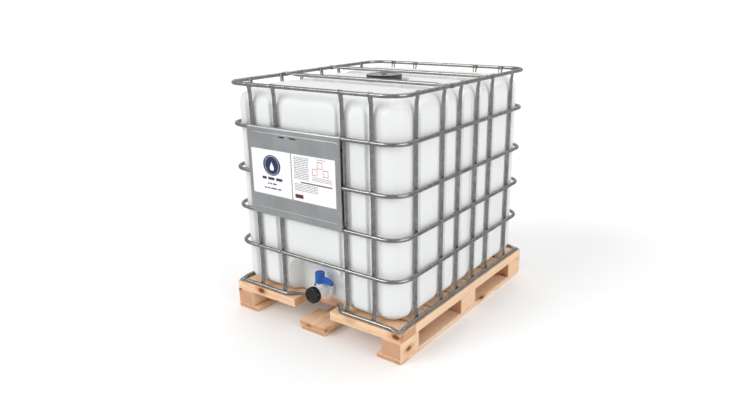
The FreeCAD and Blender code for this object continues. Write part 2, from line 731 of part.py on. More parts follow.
def valve_disc():
    start = V(0, STEM_Y + DISC_T / 2, OUTLET_Z)
    plate = rod(disc_radius(), start, OUTLET_AXIS, DISC_T)
    half_l = disc_radius() - DISC_BOSS_INSET
    boss = rod(STEM_D / 2 + DISC_BOSS_T, V(0, STEM_Y, OUTLET_Z - half_l), Z_AXIS, 2 * half_l)
    return fuse([plate, boss]).cut(rod(STEM_D / 2, V(0, STEM_Y, 0), Z_AXIS, HEIGHT))


def stem_oring():
    return tube(STEM_D / 2 + ORING_T, STEM_D / 2, V(0, STEM_Y, oring_z()), Z_AXIS, ORING_T)


def valve_lever():
    """Blue lever: a tall round hub on the stem and a flat arm, with the nub of its lock."""
    base_z = VALVE_NECK_Z + LEVER_GAP
    hub = rod(HUB_D / 2, V(0, STEM_Y, base_z), Z_AXIS, HUB_H)
    rim = [e for e in hub.Edges if e.BoundBox.ZMin > base_z + HUB_H - 0.01]
    hub = hub.makeFillet(LEVER_EDGE_R, rim)
    arm = box(0, ARM_REACH, STEM_Y - ARM_T / 2, STEM_Y + ARM_T / 2, base_z, base_z + ARM_H)
    tip = [
        e for e in arm.Edges
        if e.BoundBox.XMin > ARM_REACH - 0.01 and abs(e.tangentAt(e.FirstParameter).z) > 0.9
    ]
    arm = arm.makeFillet(ARM_T / 2 - LEVER_GAP, tip)
    crest = [
        e for e in arm.Edges
        if e.BoundBox.ZMin > base_z + ARM_H - 0.01 and abs(e.tangentAt(e.FirstParameter).x) > 0.9
    ]
    arm = arm.makeFillet(ARM_EDGE_R, crest)
    nub_z = base_z + LOCK_NUB_D
    nub_x = LOCK_NUB_ROOT - HUB_D / 2
    nub = rod(LOCK_NUB_D / 2, V(nub_x, STEM_Y, nub_z), -X_AXIS, LOCK_NUB_L + LOCK_NUB_ROOT)
    lever = fuse([hub, arm, nub])
    return lever.cut(rod(STEM_D / 2, V(0, STEM_Y, 0), Z_AXIS, VALVE_NECK_Z + HUB_H / 2))


def dust_cap():
    """Ribbed cap screwed on the spigot."""
    start = V(0, CAP_FRONT_Y + CAP_L, OUTLET_Z)
    grip_l = CAP_L - CAP_FACE_RAISE
    grip = ribbed_prism(CAP_D / 2, CAP_D / 2 - CAP_RIB_H, CAP_RIBS, start, OUTLET_AXIS, grip_l)
    face = outlet_rod(CAP_D / 2 - CAP_FACE_INSET, CAP_FRONT_Y + CAP_FACE_RAISE, CAP_FACE_RAISE)
    hollow = outlet_rod(SPIGOT_D / 2 + CAP_BORE_GAP, CAP_FRONT_Y + CAP_L, CAP_L - CAP_END_T)
    return fuse([grip, face]).cut(hollow)


def dust_cap_gasket():
    return outlet_tube(SPIGOT_D / 2, BORE_D / 2 - GASKET_LIP, SPIGOT_END_Y - FIT_GAP, GASKET_T)


def tamper_seal():
    """Wire and round tag that stand on the valve barrel beside the lever's lock nub."""
    x = -(VALVE_NECK_D + SEAL_TAG_D + SEAL_WIRE_D) / 2
    y = STEM_Y - LOCK_NUB_D
    foot_z = OUTLET_Z + math.sqrt((STUB_D / 2) ** 2 - x ** 2) - FIT_GAP
    wire = rod(SEAL_WIRE_D / 2, V(x, y, foot_z), Z_AXIS, VALVE_NECK_Z - foot_z)
    tag_z = foot_z + SEAL_TAG_D
    tag = rod(SEAL_TAG_D / 2, V(x, y - SEAL_TAG_T / 2, tag_z), Y_AXIS, SEAL_TAG_T)
    barrel = outlet_rod(STUB_D / 2, BODY_BACK_Y, DEPTH / 4)
    return fuse([wire, tag]).cut(barrel)


# ---- Assembly ----

def pallet_parts():
    """Wood pieces with the holes that their nails and the hoop's screws make."""
    wood = {}
    for group in (runners(), blocks(), stringers(), rails_and_beams(), deck_boards()):
        wood.update(group)
    fixings = nails() + foot_screws()
    for name, piece in wood.items():
        hits = [f for f in fixings if f.BoundBox.intersect(piece.BoundBox)]
        if hits:
            wood[name] = piece.cut(hits)
    wood["pallet_nails"] = Part.makeCompound(nails())
    return wood


def cage_parts():
    hoops = {"cage_top_ring": closed_ring(TOP_RING_Z)}
    rivets = plate_rivets()
    for number, z in enumerate(HOOP_HEIGHTS, 2):
        hoops[f"cage_ring_{number}"] = closed_ring(z)
    for name in ("cage_ring_2", "cage_ring_4"):
        hoops[name] = hoops[name].cut(rivets)
    hoops["cage_bottom_ring"] = bottom_ring().cut(foot_screws())
    bars = {
        name: Part.makeCompound([upright(x, y, outward) for x, y, outward in places])
        for name, places in bar_places().items()
    }
    bolts = cross_bar_bolts()
    fittings = {
        "cross_bar_front": cross_bar(-CROSS_BAR_Y).cut(bolts),
        "cross_bar_rear": cross_bar(CROSS_BAR_Y).cut(bolts),
        "cross_bar_bolts": Part.makeCompound(bolts),
        "cage_foot_screws": Part.makeCompound(foot_screws()),
        "label_plate": label_plate().cut(rivets),
        "plate_rivets": Part.makeCompound(rivets),
    }
    return {**hoops, **bars, **fittings, **labels()}


def tank_parts():
    return {
        "tank": tank(),
        "tank_neck": tank_neck(),
        "tank_outlet": tank_outlet(),
        "lid": lid(),
        "lid_vent_plug": lid_vent_plug(),
        "lid_gasket": lid_gasket(),
        "valve_gasket": valve_gasket(),
        "union_nut": union_nut(),
        "valve_body": valve_body(),
        "valve_stem": valve_stem(),
        "valve_disc": valve_disc(),
        "stem_oring": stem_oring(),
        "valve_lever": valve_lever(),
        "dust_cap": dust_cap(),
        "dust_cap_gasket": dust_cap_gasket(),
        "tamper_seal": tamper_seal(),
    }


os.makedirs("parts", exist_ok=True)
for group in (pallet_parts(), cage_parts(), tank_parts()):
    for node, shape in group.items():
        shape.exportStep(f"parts/{node}.step")
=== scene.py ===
import math

import bmesh
import bpy
import numpy as np
from mathutils import Matrix, Vector


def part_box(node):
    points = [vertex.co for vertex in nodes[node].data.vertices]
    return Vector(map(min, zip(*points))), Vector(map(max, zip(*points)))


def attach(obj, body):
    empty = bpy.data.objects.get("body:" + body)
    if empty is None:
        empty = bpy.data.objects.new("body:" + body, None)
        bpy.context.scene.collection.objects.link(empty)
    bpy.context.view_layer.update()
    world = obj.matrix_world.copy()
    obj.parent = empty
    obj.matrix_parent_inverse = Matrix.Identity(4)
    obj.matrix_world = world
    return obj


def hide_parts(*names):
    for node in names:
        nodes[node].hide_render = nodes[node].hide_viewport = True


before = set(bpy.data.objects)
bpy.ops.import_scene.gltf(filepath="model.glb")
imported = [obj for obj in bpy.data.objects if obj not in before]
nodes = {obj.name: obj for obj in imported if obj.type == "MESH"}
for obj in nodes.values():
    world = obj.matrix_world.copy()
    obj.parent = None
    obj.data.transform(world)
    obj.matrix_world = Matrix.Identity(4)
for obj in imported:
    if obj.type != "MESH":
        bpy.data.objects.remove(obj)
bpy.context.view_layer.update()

bpy.context.scene.view_settings.view_transform = "Standard"


# ---- Studio ----
# A plain white floor in an evenly lit room, with one broad soft light high on the valve side,
# one low on the right and a weaker one behind. It is not part of the container.

def linear(code):
    """sRGB hex to linear: c / 12.92 up to 0.04045, and ((c + 0.055) / 1.055) ** 2.4 above it."""
    values = [int(code[k:k + 2], 16) / 255 for k in (1, 3, 5)]
    lit = [c / 12.92 if c <= 0.04045 else ((c + 0.055) / 1.055) ** 2.4 for c in values]
    return (*lit, 1.0)


def wire(tree, node, inputs):
    """Sets a node's inputs to values, or links them: a node stands for its first live output."""
    for key, value in inputs.items():
        if isinstance(value, bpy.types.Node):
            value = next(output for output in value.outputs if output.enabled)
        if isinstance(value, bpy.types.NodeSocket):
            tree.links.new(value, node.inputs[key])
        else:
            node.inputs[key].default_value = value
    return node


def add(tree, kind, inputs=None, **settings):
    """Adds a shader node, sets its properties, then sets or links its inputs."""
    made = tree.nodes.new("ShaderNode" + kind)
    for name, value in settings.items():
        setattr(made, name, value)
    return wire(tree, made, inputs or {})


def new_material(name):
    """An empty material with its shader: returns the material, its node tree and the shader."""
    material = bpy.data.materials.new(name)
    material.use_nodes = True
    tree = material.node_tree
    tree.nodes.clear()
    shader = add(tree, "BsdfPrincipled")
    add(tree, "OutputMaterial", {"Surface": shader})
    return material, tree, shader


CAMERA_AT = (1.844, -2.579, 1.487)
CAMERA_AZIMUTH, CAMERA_ELEVATION, CAMERA_ROLL = 36.98, 18.03, -1.05
CAMERA_LENS = 31.07

camera_data = bpy.data.cameras.new("camera")
camera_data.lens = CAMERA_LENS
camera_data.sensor_width = 36.0
camera = bpy.data.objects.new("camera", camera_data)
bpy.context.scene.collection.objects.link(camera)
bpy.context.scene.camera = camera
azimuth, elevation, roll = np.radians([CAMERA_AZIMUTH, CAMERA_ELEVATION, CAMERA_ROLL]).tolist()
right = np.array([math.cos(azimuth), math.sin(azimuth), 0.0])
back = np.array([math.sin(azimuth) * math.cos(elevation), -math.cos(azimuth) * math.cos(elevation),
                 math.sin(elevation)])
up = np.cross(back, right)
rolled_right = right * math.cos(roll) + up * math.sin(roll)
rolled_up = up * math.cos(roll) - right * math.sin(roll)
pose = np.eye(4)
pose[:3, 0], pose[:3, 1], pose[:3, 2], pose[:3, 3] = rolled_right, rolled_up, back, CAMERA_AT
camera.matrix_world = Matrix(pose.tolist())

world = bpy.data.worlds.new("white_room")
bpy.context.scene.world = world
world.use_nodes = True
room = world.node_tree
room.nodes.clear()
seen = add(room, "LightPath")
where = add(room, "TexCoord").outputs["Generated"]
height_of = add(room, "SeparateXYZ", {0: where})
sky = add(room, "MapRange", {"Value": height_of.outputs["Z"], "From Min": 0.0, "From Max": 0.7,
                             "To Min": 0.0, "To Max": 1.0}, interpolation_type="SMOOTHSTEP")
toward_back = add(room, "VectorMath", {0: where, 1: (-0.6, 0.8, 0.0)}, operation="DOT_PRODUCT")
back_wall = add(room, "MapRange", {"Value": toward_back, "From Min": 0.1, "From Max": 0.7},
                interpolation_type="SMOOTHSTEP")
bright = add(room, "Math", {0: sky, 1: back_wall}, operation="MAXIMUM")
walls = add(room, "Mix", {0: bright, 6: linear("#74767a"), 7: linear("#dcdcdc")}, data_type="RGBA")
shown = add(room, "Mix", {0: seen.outputs["Is Camera Ray"], 6: walls, 7: (1.2, 1.2, 1.2, 1.0)},
            data_type="RGBA")
glow = add(room, "Background", {"Color": shown, "Strength": 0.86})
add(room, "OutputWorld", {"Surface": glow})


def soft_light(name, toward, strength, spread):
    """A distant light `spread` degrees wide, shining from the direction `toward`."""
    data = bpy.data.lights.new(name, "SUN")
    data.energy = strength
    data.angle = math.radians(spread)
    lamp = bpy.data.objects.new(name, data)
    bpy.context.scene.collection.objects.link(lamp)
    lamp.rotation_euler = Vector(toward).to_track_quat("Z", "Y").to_euler()


soft_light("key_light", (-2.4, -4.2, 3.0), 1.42, 38)
soft_light("side_light", (4.6, -0.4, 1.5), 1.25, 46)
soft_light("top_light", (-0.3, 2.0, 3.6), 0.75, 60)

FLOOR_HALF = 80.0
floor_mesh = bpy.data.meshes.new("floor")
floor_corners = [(s * FLOOR_HALF, t * FLOOR_HALF, 0)
                 for s, t in ((-1, -1), (1, -1), (1, 1), (-1, 1))]
floor_mesh.from_pydata(floor_corners, [], [(0, 1, 2, 3)])
floor = bpy.data.objects.new("floor", floor_mesh)
bpy.context.scene.collection.objects.link(floor)
floor_paint, tree, shader = new_material("matt_white_floor")
floor_seen = add(tree, "LightPath")
floor_shade = add(tree, "Mix", {0: floor_seen.outputs["Is Glossy Ray"], 6: linear("#f4f4f4"),
                                7: linear("#c2c4c6")}, data_type="RGBA")
floor_lift = add(tree, "Math", {0: floor_seen.outputs["Is Camera Ray"], 1: 0.09},
                 operation="MULTIPLY")
wire(tree, shader, {"Base Color": floor_shade, "Emission Strength": floor_lift,
                    "Emission Color": (1.0, 1.0, 1.0, 1.0), "Roughness": 0.9,
                    "Specular IOR Level": 0.1})
floor_mesh.materials.append(floor_paint)


# ---- Pallet timber ----
# Sawn pine, nailed: three runners, nine blocks, three stringers, two side rails, two front
# beams with the notch for the valve between them, and six deck boards. The sawn edges are
# slightly rounded and each piece is a little bowed.

def ring_faces(rows, columns, wrap_columns=True, wrap_rows=False):
    """Quads between neighbouring rows and columns of a grid of points."""
    row = np.arange(rows if wrap_rows else rows - 1)[:, None]
    column = np.arange(columns if wrap_columns else columns - 1)[None, :]
    below, above = row * columns, (row + 1) % rows * columns
    this, following = column, (column + 1) % columns
    corners = [below + this, below + following, above + following, above + this]
    return np.stack(np.broadcast_arrays(*corners), axis=-1).reshape(-1, 4)


def joined(shells):
    """One point list and one face list out of several (points, faces) pairs."""
    points, faces, start = [], [], 0
    for shell_points, shell_faces in shells:
        flat = np.asarray(shell_points, float).reshape(-1, 3)
        points.append(flat)
        faces.append(np.asarray(shell_faces) + start)
        start += len(flat)
    return np.concatenate(points), np.concatenate(faces)


def make_piece(name, shells, body, material, stands_for=(), sharp=40.0, facts=None):
    """A piece out of closed shells: doubles merged, faces turned outwards, riding on a body.

    `facts` are named values per point, kept on the mesh as attributes for its material.
    """
    points, faces = joined(shells)
    mesh = bpy.data.meshes.new(name)
    mesh.from_pydata(points.tolist(), [], faces.tolist())
    for fact, values in (facts or {}).items():
        values = np.asarray(values, np.float32)
        kind, key = ("FLOAT_VECTOR", "vector") if values.ndim == 2 else ("FLOAT", "value")
        mesh.attributes.new(fact, kind, "POINT").data.foreach_set(key, values.ravel())
    built = bmesh.new()
    built.from_mesh(mesh)
    bmesh.ops.remove_doubles(built, verts=built.verts, dist=2e-6)
    bmesh.ops.dissolve_degenerate(built, edges=built.edges, dist=1e-6)
    bmesh.ops.recalc_face_normals(built, faces=built.faces)
    built.to_mesh(mesh)
    built.free()
    mesh.polygons.foreach_set("use_smooth", np.ones(len(mesh.polygons), bool))
    mesh.set_sharp_from_angle(angle=math.radians(sharp))
    mesh.materials.append(material)
    piece = bpy.data.objects.new(name, mesh)
    bpy.context.scene.collection.objects.link(piece)
    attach(piece, body)
    if stands_for:
        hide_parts(*stands_for)
    return piece


def corners_rounded(points, radii, steps=3):
    """A closed outline with each corner turned into a curve that starts `radius` before it."""
    points = np.asarray(points, float)
    share = np.linspace(0, 1, steps + 1)[:, None]
    made = []
    for k, corner in enumerate(points):
        before, after = points[k - 1] - corner, points[(k + 1) % len(points)] - corner
        start = corner + before / np.linalg.norm(before) * radii[k]
        end = corner + after / np.linalg.norm(after) * radii[k]
        made.append((1 - share) ** 2 * start + 2 * share * (1 - share) * corner + share ** 2 * end)
    return np.concatenate(made)


def filled_in(outline, spacing):
    """The same closed outline with points added so that none are more than `spacing` apart."""
    made = []
    for k, point in enumerate(outline):
        gap = outline[(k + 1) % len(outline)] - point
        count = max(1, int(np.ceil(np.linalg.norm(gap) / spacing)))
        made.append(point + gap * (np.arange(count) / count)[:, None])
    return np.concatenate(made)


TIMBER_EDGE = 0.0028
TIMBER_STEP, OUTLINE_STEP = 0.045, 0.022
BOW, BOW_WAVE = 0.0007, 0.31


def timber(low, high, along, seed):
    """One sawn piece inside the box low..high, its grain along axis `along`.

    The outline across the grain has rounded corners and is carried along the grain; the first
    and last rows draw in for the edge, then close the end. Points then move inwards by a sum
    of slow sine waves. Returns the shell and the values that the wood material reads.
    """
    rng = np.random.default_rng(seed)
    low, high = np.array(low), np.array(high)
    across = [k for k in range(3) if k != along]
    size = high - low
    half = size[across] / 2
    edge = TIMBER_EDGE
    outline = np.array([(-1, -1), (1, -1), (1, 1), (-1, 1)]) * half
    radii = [edge * rng.uniform(0.7, 1.5) for _ in range(4)]
    outline = filled_in(corners_rounded(outline, radii), OUTLINE_STEP)
    length = size[along]
    count = max(3, int(length / TIMBER_STEP))
    run = np.concatenate([[0, 0, 0, 0, edge * 0.3], np.linspace(edge, length - edge, count),
                          [length - edge * 0.3, length, length, length, length]])
    scale = np.ones((len(run), 2))
    for side in (0, 1):
        inner = 1 - edge / half[side]
        rows = [0.0, 0.45 * inner, 0.9 * inner, inner, 1 - 0.3 * edge / half[side]]
        scale[:5, side] = rows
        scale[-5:, side] = rows[::-1]
    grid = np.zeros((len(run), len(outline), 3))
    grid[:, :, along] = run[:, None] - length / 2
    for side in (0, 1):
        grid[:, :, across[side]] = outline[None, :, side] * scale[:, side][:, None]
    wave = rng.uniform(0, 2 * math.pi, (3, 3))
    place = grid / BOW_WAVE
    pull = np.zeros(grid.shape)
    for axis in range(3):
        others = [k for k in range(3) if k != axis]
        shape = (np.sin(place[..., others[0]] * 2.1 + wave[axis, 0])
                 * np.sin(place[..., others[1]] * 2.7 + wave[axis, 1]))
        fine = 0.25 * np.sin(place[..., along] * 23 + wave[axis, 2] + 9 * place[..., others[0]])
        pull[..., axis] = BOW * (1.3 + shape + fine) / 2.5
    reach = np.abs(grid) / (size / 2)
    moved = grid - np.sign(grid) * pull * np.clip(reach, 0, 1) ** 4
    points = (moved + (low + high) / 2).reshape(-1, 3)
    grain = grid.reshape(-1, 3)[:, [along, across[0], across[1]]]
    grain = grain + rng.uniform(-1, 1, 3) * (0.9, 0.0, 0.0) + (seed * 1.7, 0.0, 0.0)
    pith = np.array([0.0, rng.uniform(-0.02, 0.05),
                     rng.choice([-1, 1]) * rng.uniform(0.025, 0.075)])
    grain = grain - pith
    on_end = (np.abs(grid[..., along]) > length / 2 - 1e-6).reshape(-1).astype(float)
    tone = np.full(len(points), rng.uniform(0.0, 1.0))
    faces = ring_faces(len(run), len(outline))
    return (points, faces), {"grain": grain, "end_grain": on_end, "tone": tone}


# Pine with its bark off: pale sapwood bands and darker, redder latewood lines about 4 mm
# apart, drawn as solid rings round the pith, brown knots, and darker, redder end faces, partly the
# end grain's own colour and partly painted shade.
pine, tree, shader = new_material("sawn_pine")
grain = add(tree, "Attribute", attribute_name="grain")
end = add(tree, "Attribute", attribute_name="end_grain")
tone = add(tree, "Attribute", attribute_name="tone")
slow = add(tree, "Mapping", {"Vector": grain.outputs["Vector"], "Scale": (2.2, 14.0, 14.0)})
drift = add(tree, "TexNoise", {"Vector": slow, "Scale": 1.0, "Detail": 3.0})
shift = add(tree, "VectorMath", {0: drift.outputs["Color"], 1: (0.0, 0.03, 0.03)},
            operation="MULTIPLY")
bent = add(tree, "VectorMath", {0: grain.outputs["Vector"], 1: shift}, operation="ADD")
rings = add(tree, "TexWave", {"Vector": bent, "Scale": 52.0, "Distortion": 1.2, "Detail": 2.0,
                              "Detail Scale": 0.6},
            wave_type="RINGS", rings_direction="X", wave_profile="SAW")
late = add(tree, "Math", {0: rings.outputs["Fac"], 1: 2.4}, operation="POWER")
fibre_place = add(tree, "Mapping", {"Vector": grain.outputs["Vector"],
                                    "Scale": (9.0, 420.0, 420.0)})
fibre = add(tree, "TexNoise", {"Vector": fibre_place, "Scale": 1.0, "Detail": 4.0,
                               "Roughness": 0.6})
patch_place = add(tree, "Mapping", {"Vector": grain.outputs["Vector"], "Scale": (5.0, 22.0, 22.0)})
patch = add(tree, "TexNoise", {"Vector": patch_place, "Scale": 1.0, "Detail": 2.0})
knot_place = add(tree, "Mapping", {"Vector": bent, "Scale": (5.2, 11.0, 11.0)})
knots = add(tree, "TexVoronoi", {"Vector": knot_place, "Scale": 1.0})
knot = add(tree, "MapRange", {"Value": knots.outputs["Distance"], "From Min": 0.10,
                              "From Max": 0.17, "To Min": 1.0,
                              "To Max": 0.0}, interpolation_type="SMOOTHSTEP")
halo = add(tree, "MapRange", {"Value": knots.outputs["Distance"], "From Min": 0.14,
                              "From Max": 0.34, "To Min": 0.5,
                              "To Max": 0.0}, interpolation_type="SMOOTHSTEP")
pale = add(tree, "Mix", {0: patch, 6: linear("#fbe6cf"), 7: linear("#f0caa4")}, data_type="RGBA")
toned = add(tree, "Mix", {0: tone.outputs["Fac"], 6: pale, 7: linear("#f3d0ac")}, data_type="RGBA")
band_share = add(tree, "Math", {0: late, 1: 0.62}, operation="MULTIPLY")
banded = add(tree, "Mix", {0: band_share, 6: toned, 7: linear("#d99f70")}, data_type="RGBA")
streaked = add(tree, "Mix", {0: 0.22, 6: banded, 7: fibre}, data_type="RGBA", blend_type="OVERLAY")
ringed = add(tree, "Mix", {0: halo, 6: streaked, 7: linear("#b9763c")}, data_type="RGBA")
knotted = add(tree, "Mix", {0: knot, 6: ringed, 7: linear("#7a4522")}, data_type="RGBA")
# End faces mix towards a darker red brown: partly the end grain's own colour, partly painted shade.
end_grain_and_shade_share = add(tree, "Math", {0: end.outputs["Fac"], 1: 0.55}, operation="MULTIPLY")
sawn = add(tree, "Mix", {0: end_grain_and_shade_share, 6: knotted, 7: linear("#b06d45")}, data_type="RGBA")
rough = add(tree, "MapRange", {"Value": fibre, "To Min": 0.55, "To Max": 0.85})
saw_marks = add(tree, "TexWave", {"Vector": grain.outputs["Vector"], "Scale": 60.0,
                                  "Distortion": 3.0, "Detail": 2.0},
                wave_type="BANDS", bands_direction="X")
relief = add(tree, "Math", {0: saw_marks.outputs["Fac"], 1: 0.25, 2: fibre},
             operation="MULTIPLY_ADD")
bump = add(tree, "Bump", {"Height": relief, "Strength": 0.35, "Distance": 0.0006})
wire(tree, shader, {"Base Color": sawn, "Roughness": rough, "Normal": bump,
                    "Specular IOR Level": 0.3})

timber_nodes = sorted(name for name in nodes
                      if name.startswith(("pallet_", "deck_")) and name != "pallet_nails")
grain_axis = {"runner": 1, "stringer": 1, "rail": 1, "beam": 0, "board": 0, "block": 1}
for number, node in enumerate(timber_nodes):
    low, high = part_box(node)
    kind = node.split("_")[1]
    shell, facts = timber(low, high, grain_axis[kind], number + 3)
    make_piece("pine_" + node, [shell], "container", pine, [node], 50.0, facts)


# ---- Deck nails ----
# Bright wire nails driven flush through the deck boards into the stringers; only the flat,
# slightly dished round heads show, sunk a hair below the wood.

def solid_of_turn(profile, centre, axis, segments=32, ripple=None, closed=False):
    """Carries a profile of (radius, height) round an axis: angle on one side, height on the other.

    `ripple(angle, radius, height)` adds to the radius, for ribs, grips and threads.
    """
    profile = np.asarray(profile, float)
    axis = np.asarray(axis, float)
    first = np.array([1.0, 0.0, 0.0]) if abs(axis[0]) < 0.5 else np.array([0.0, 1.0, 0.0])
    second = np.cross(axis, first)
    angle = np.linspace(0, 2 * math.pi, segments, endpoint=False)[None, :]
    radius = np.repeat(profile[:, :1], segments, axis=1)
    rise = profile[:, 1:2]
    if ripple is not None:
        radius = radius + np.where(radius > 1e-6, ripple(angle, radius, rise), 0.0)
    points = (np.asarray(centre, float) + radius[..., None] * (np.cos(angle)[..., None] * first
              + np.sin(angle)[..., None] * second) + rise[..., None] * axis)
    return points, ring_faces(len(profile), segments, wrap_rows=closed)


def copies(shell, places):
    """The same shell moved to each place."""
    points, faces = shell
    return [(points + np.asarray(place), faces) for place in places]


def mottled(name, scale, detail, dark, light, smoothest, dullest, metallic=0.0, relief=0.0):
    """One colour clouded by fine noise, which spreads its roughness and lifts its face too."""
    material, tree, shader = new_material(name)
    where = add(tree, "TexCoord").outputs["Object"]
    cloud = add(tree, "TexNoise", {"Vector": where, "Scale": scale, "Detail": detail})
    colour = add(tree, "Mix", {0: cloud, 6: linear(dark), 7: linear(light)}, data_type="RGBA")
    rough = add(tree, "MapRange", {"Value": cloud, "To Min": smoothest, "To Max": dullest})
    wire(tree, shader, {"Base Color": colour, "Roughness": rough, "Metallic": metallic})
    if relief:
        lift = add(tree, "Bump", {"Height": cloud, "Strength": relief, "Distance": 0.0002})
        wire(tree, shader, {"Normal": lift})
    return material


# Bright wire steel: grey with a warm cast, scuffed by the hammer to a patchy half-gloss.
nail_steel = mottled("bright_wire_steel", 900.0, 3.0, "#6f6c68", "#a9a59d", 0.3, 0.6, 0.9)

deck_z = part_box("deck_board_1")[1].z
nail_points = np.array([v.co for v in nodes["pallet_nails"].data.vertices], float)
heads = nail_points[nail_points[:, 2] > deck_z - 1e-5]
cells = np.unique(np.round(heads[:, :2] / 0.02).astype(int), axis=0)
nail_places = []
for cell in cells:
    near = heads[np.all(np.round(heads[:, :2] / 0.02).astype(int) == cell, axis=1)][:, :2]
    centre = (near.min(0) + near.max(0)) / 2
    if all(np.hypot(*(centre - np.array(p[:2]))) > 0.012 for p in nail_places):
        whole = heads[np.hypot(*(heads[:, :2] - near.mean(0)).T) < 0.009][:, :2]
        centre = (whole.min(0) + whole.max(0)) / 2
        nail_places.append((centre[0], centre[1], deck_z))
NAIL_HEAD = [(0.0, -0.0004), (0.0022, -0.0004), (0.0032, -0.0001), (0.0038, -0.0002),
             (0.004, -0.0008), (0.002, -0.0012), (0.002, -0.036), (0.0, -0.040)]
nail = solid_of_turn(NAIL_HEAD, (0, 0, 0), (0, 0, 1), 14)
make_piece("deck_nail_heads", copies(nail, nail_places), "container", nail_steel,
           ["pallet_nails"])


# ---- Bottle ----
# One blow-moulded bottle in natural polyethylene. Panels stand proud between the cage's
# uprights, with rounded upper corners; two channels for the cross bars and a round pocket
# for the lid are sunk in its top, and an arched bay in its foot makes room for the valve.

def smooth(value, start, end):
    """0 before start, 1 after end, 3t^2 - 2t^3 between them."""
    t = np.clip((value - start) / (end - start), 0, 1)
    return t * t * (3 - 2 * t)


def graded(stops, spacing, fine, near):
    """Values from the first stop to the last, close together near each place in `near`."""
    values = [stops[0]]
    while values[-1] < stops[-1]:
        gap = min((abs(values[-1] - place) for place in near), default=1.0)
        values.append(values[-1] + (fine if gap < 0.034 else spacing))
    values = np.array(values)
    return stops[0] + (values - stops[0]) * (stops[-1] - stops[0]) / (values[-1] - stops[0])


tank_low, tank_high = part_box("tank")
HALF_X, HALF_Y = tank_high.x, tank_high.y
TANK_FOOT, TANK_TOP = tank_low.z, tank_high.z
RECESS = 0.014
CORNER_R, SHOULDER_R, FOOT_R = 0.088, 0.080, 0.066
GROOVE_HALF = 0.029
PANEL_TOP, PANEL_FOOT, PANEL_R, PANEL_EDGE = TANK_TOP - 0.024, TANK_FOOT + 0.030, 0.052, 0.010
BAY_HALF, BAY_TOP, BAY_R = 0.175, 0.338, 0.085
BAY_WALL = -HALF_Y + 0.092
POCKET_R, POCKET_Z, POCKET_EDGE = 0.118, TANK_TOP - 0.018, 0.008
CHANNEL_Y, CHANNEL_HALF, CHANNEL_Z, CHANNEL_EDGE = 0.186, 0.033, TANK_TOP - 0.016, 0.007
NECK_R, NECK_BORE_R = 0.078, 0.071
bar_x = [-0.342, -0.192, 0.192, 0.342]
bar_y = [-0.4368, -0.2256, -0.081, 0.081, 0.2256, 0.4368]

base_x, base_y, base_r = HALF_X - RECESS, HALF_Y - RECESS, CORNER_R - RECESS * 0.6
line_x = graded([-base_x + base_r, base_x - base_r], 0.030, 0.0038,
                [p + s * GROOVE_HALF for p in bar_x for s in (-1, 1)])
line_x = np.unique(np.round(np.concatenate([line_x, np.linspace(-0.215, 0.215, 87)]), 4))
line_x = line_x[np.concatenate([[True], np.diff(line_x) > 0.0018])]
line_y = graded([-base_y + base_r, base_y - base_r], 0.030, 0.0038,
                [p + s * GROOVE_HALF for p in bar_y for s in (-1, 1)])
turn = np.linspace(0, math.pi / 2, 15)[1:-1]


def rounded_rectangle(half_x, half_y, bend, along_x, along_y):
    """Points and outward directions round a rectangle with arcs of radius `bend` at its corners.

    Anticlockwise from the front's left end: each side's given values, then the arc's angles.
    """
    parts, normals = [], []
    near_x, near_y = half_x - bend, half_y - bend
    runs = [
        (np.stack([along_x, np.full(len(along_x), -half_y)], 1), (0, -1), (near_x, -near_y), -90),
        (np.stack([np.full(len(along_y), half_x), along_y], 1), (1, 0), (near_x, near_y), 0),
        (np.stack([-along_x, np.full(len(along_x), half_y)], 1), (0, 1), (-near_x, near_y), 90),
        (np.stack([np.full(len(along_y), -half_x), -along_y], 1), (-1, 0), (-near_x, -near_y), 180),
    ]
    for run, outward, centre, first in runs:
        parts.append(run)
        normals.append(np.repeat(np.array([outward], float), len(run), axis=0))
        angle = turn + math.radians(first)
        arc = np.stack([np.cos(angle), np.sin(angle)], 1)
        parts.append(np.array(centre) + bend * arc)
        normals.append(arc)
    return np.concatenate(parts), np.concatenate(normals)


def inwards(gap_x, gap_z, bend):
    """How far inside a rounded rectangle: the smaller gap to a side, or near a corner
    `bend` less the distance to the centre of the corner's arc."""
    past_x, past_z = np.clip(bend - gap_x, 0, None), np.clip(bend - gap_z, 0, None)
    by_corner = (past_x > 0) & (past_z > 0)
    return np.where(by_corner, bend - np.hypot(past_x, past_z), np.minimum(gap_x, gap_z))


outline, away = rounded_rectangle(base_x, base_y, base_r, line_x, line_y)
step = np.hypot(*(np.roll(outline, -1, axis=0) - outline).T)
travel = np.concatenate([[0], np.cumsum(step)[:-1]])
total = step.sum()
bar_spots = ([(x, -base_y) for x in bar_x] + [(base_x, y) for y in bar_y]
             + [(x, base_y) for x in bar_x] + [(-base_x, y) for y in bar_y])
bar_travel = sorted(travel[np.argmin(np.hypot(*(outline - np.array(spot)).T))]
                    for spot in bar_spots)
edges = np.array(bar_travel + [bar_travel[0] + total])
slot_of = np.searchsorted(bar_travel, travel, side="right") - 1
from_left = np.where(slot_of < 0, travel + total - bar_travel[-1],
                     travel - edges[np.maximum(slot_of, 0)])
width = np.where(slot_of < 0, edges[-1] - bar_travel[-1], edges[slot_of + 1] - edges[slot_of])
side_gap = np.minimum(from_left, width - from_left) - GROOVE_HALF

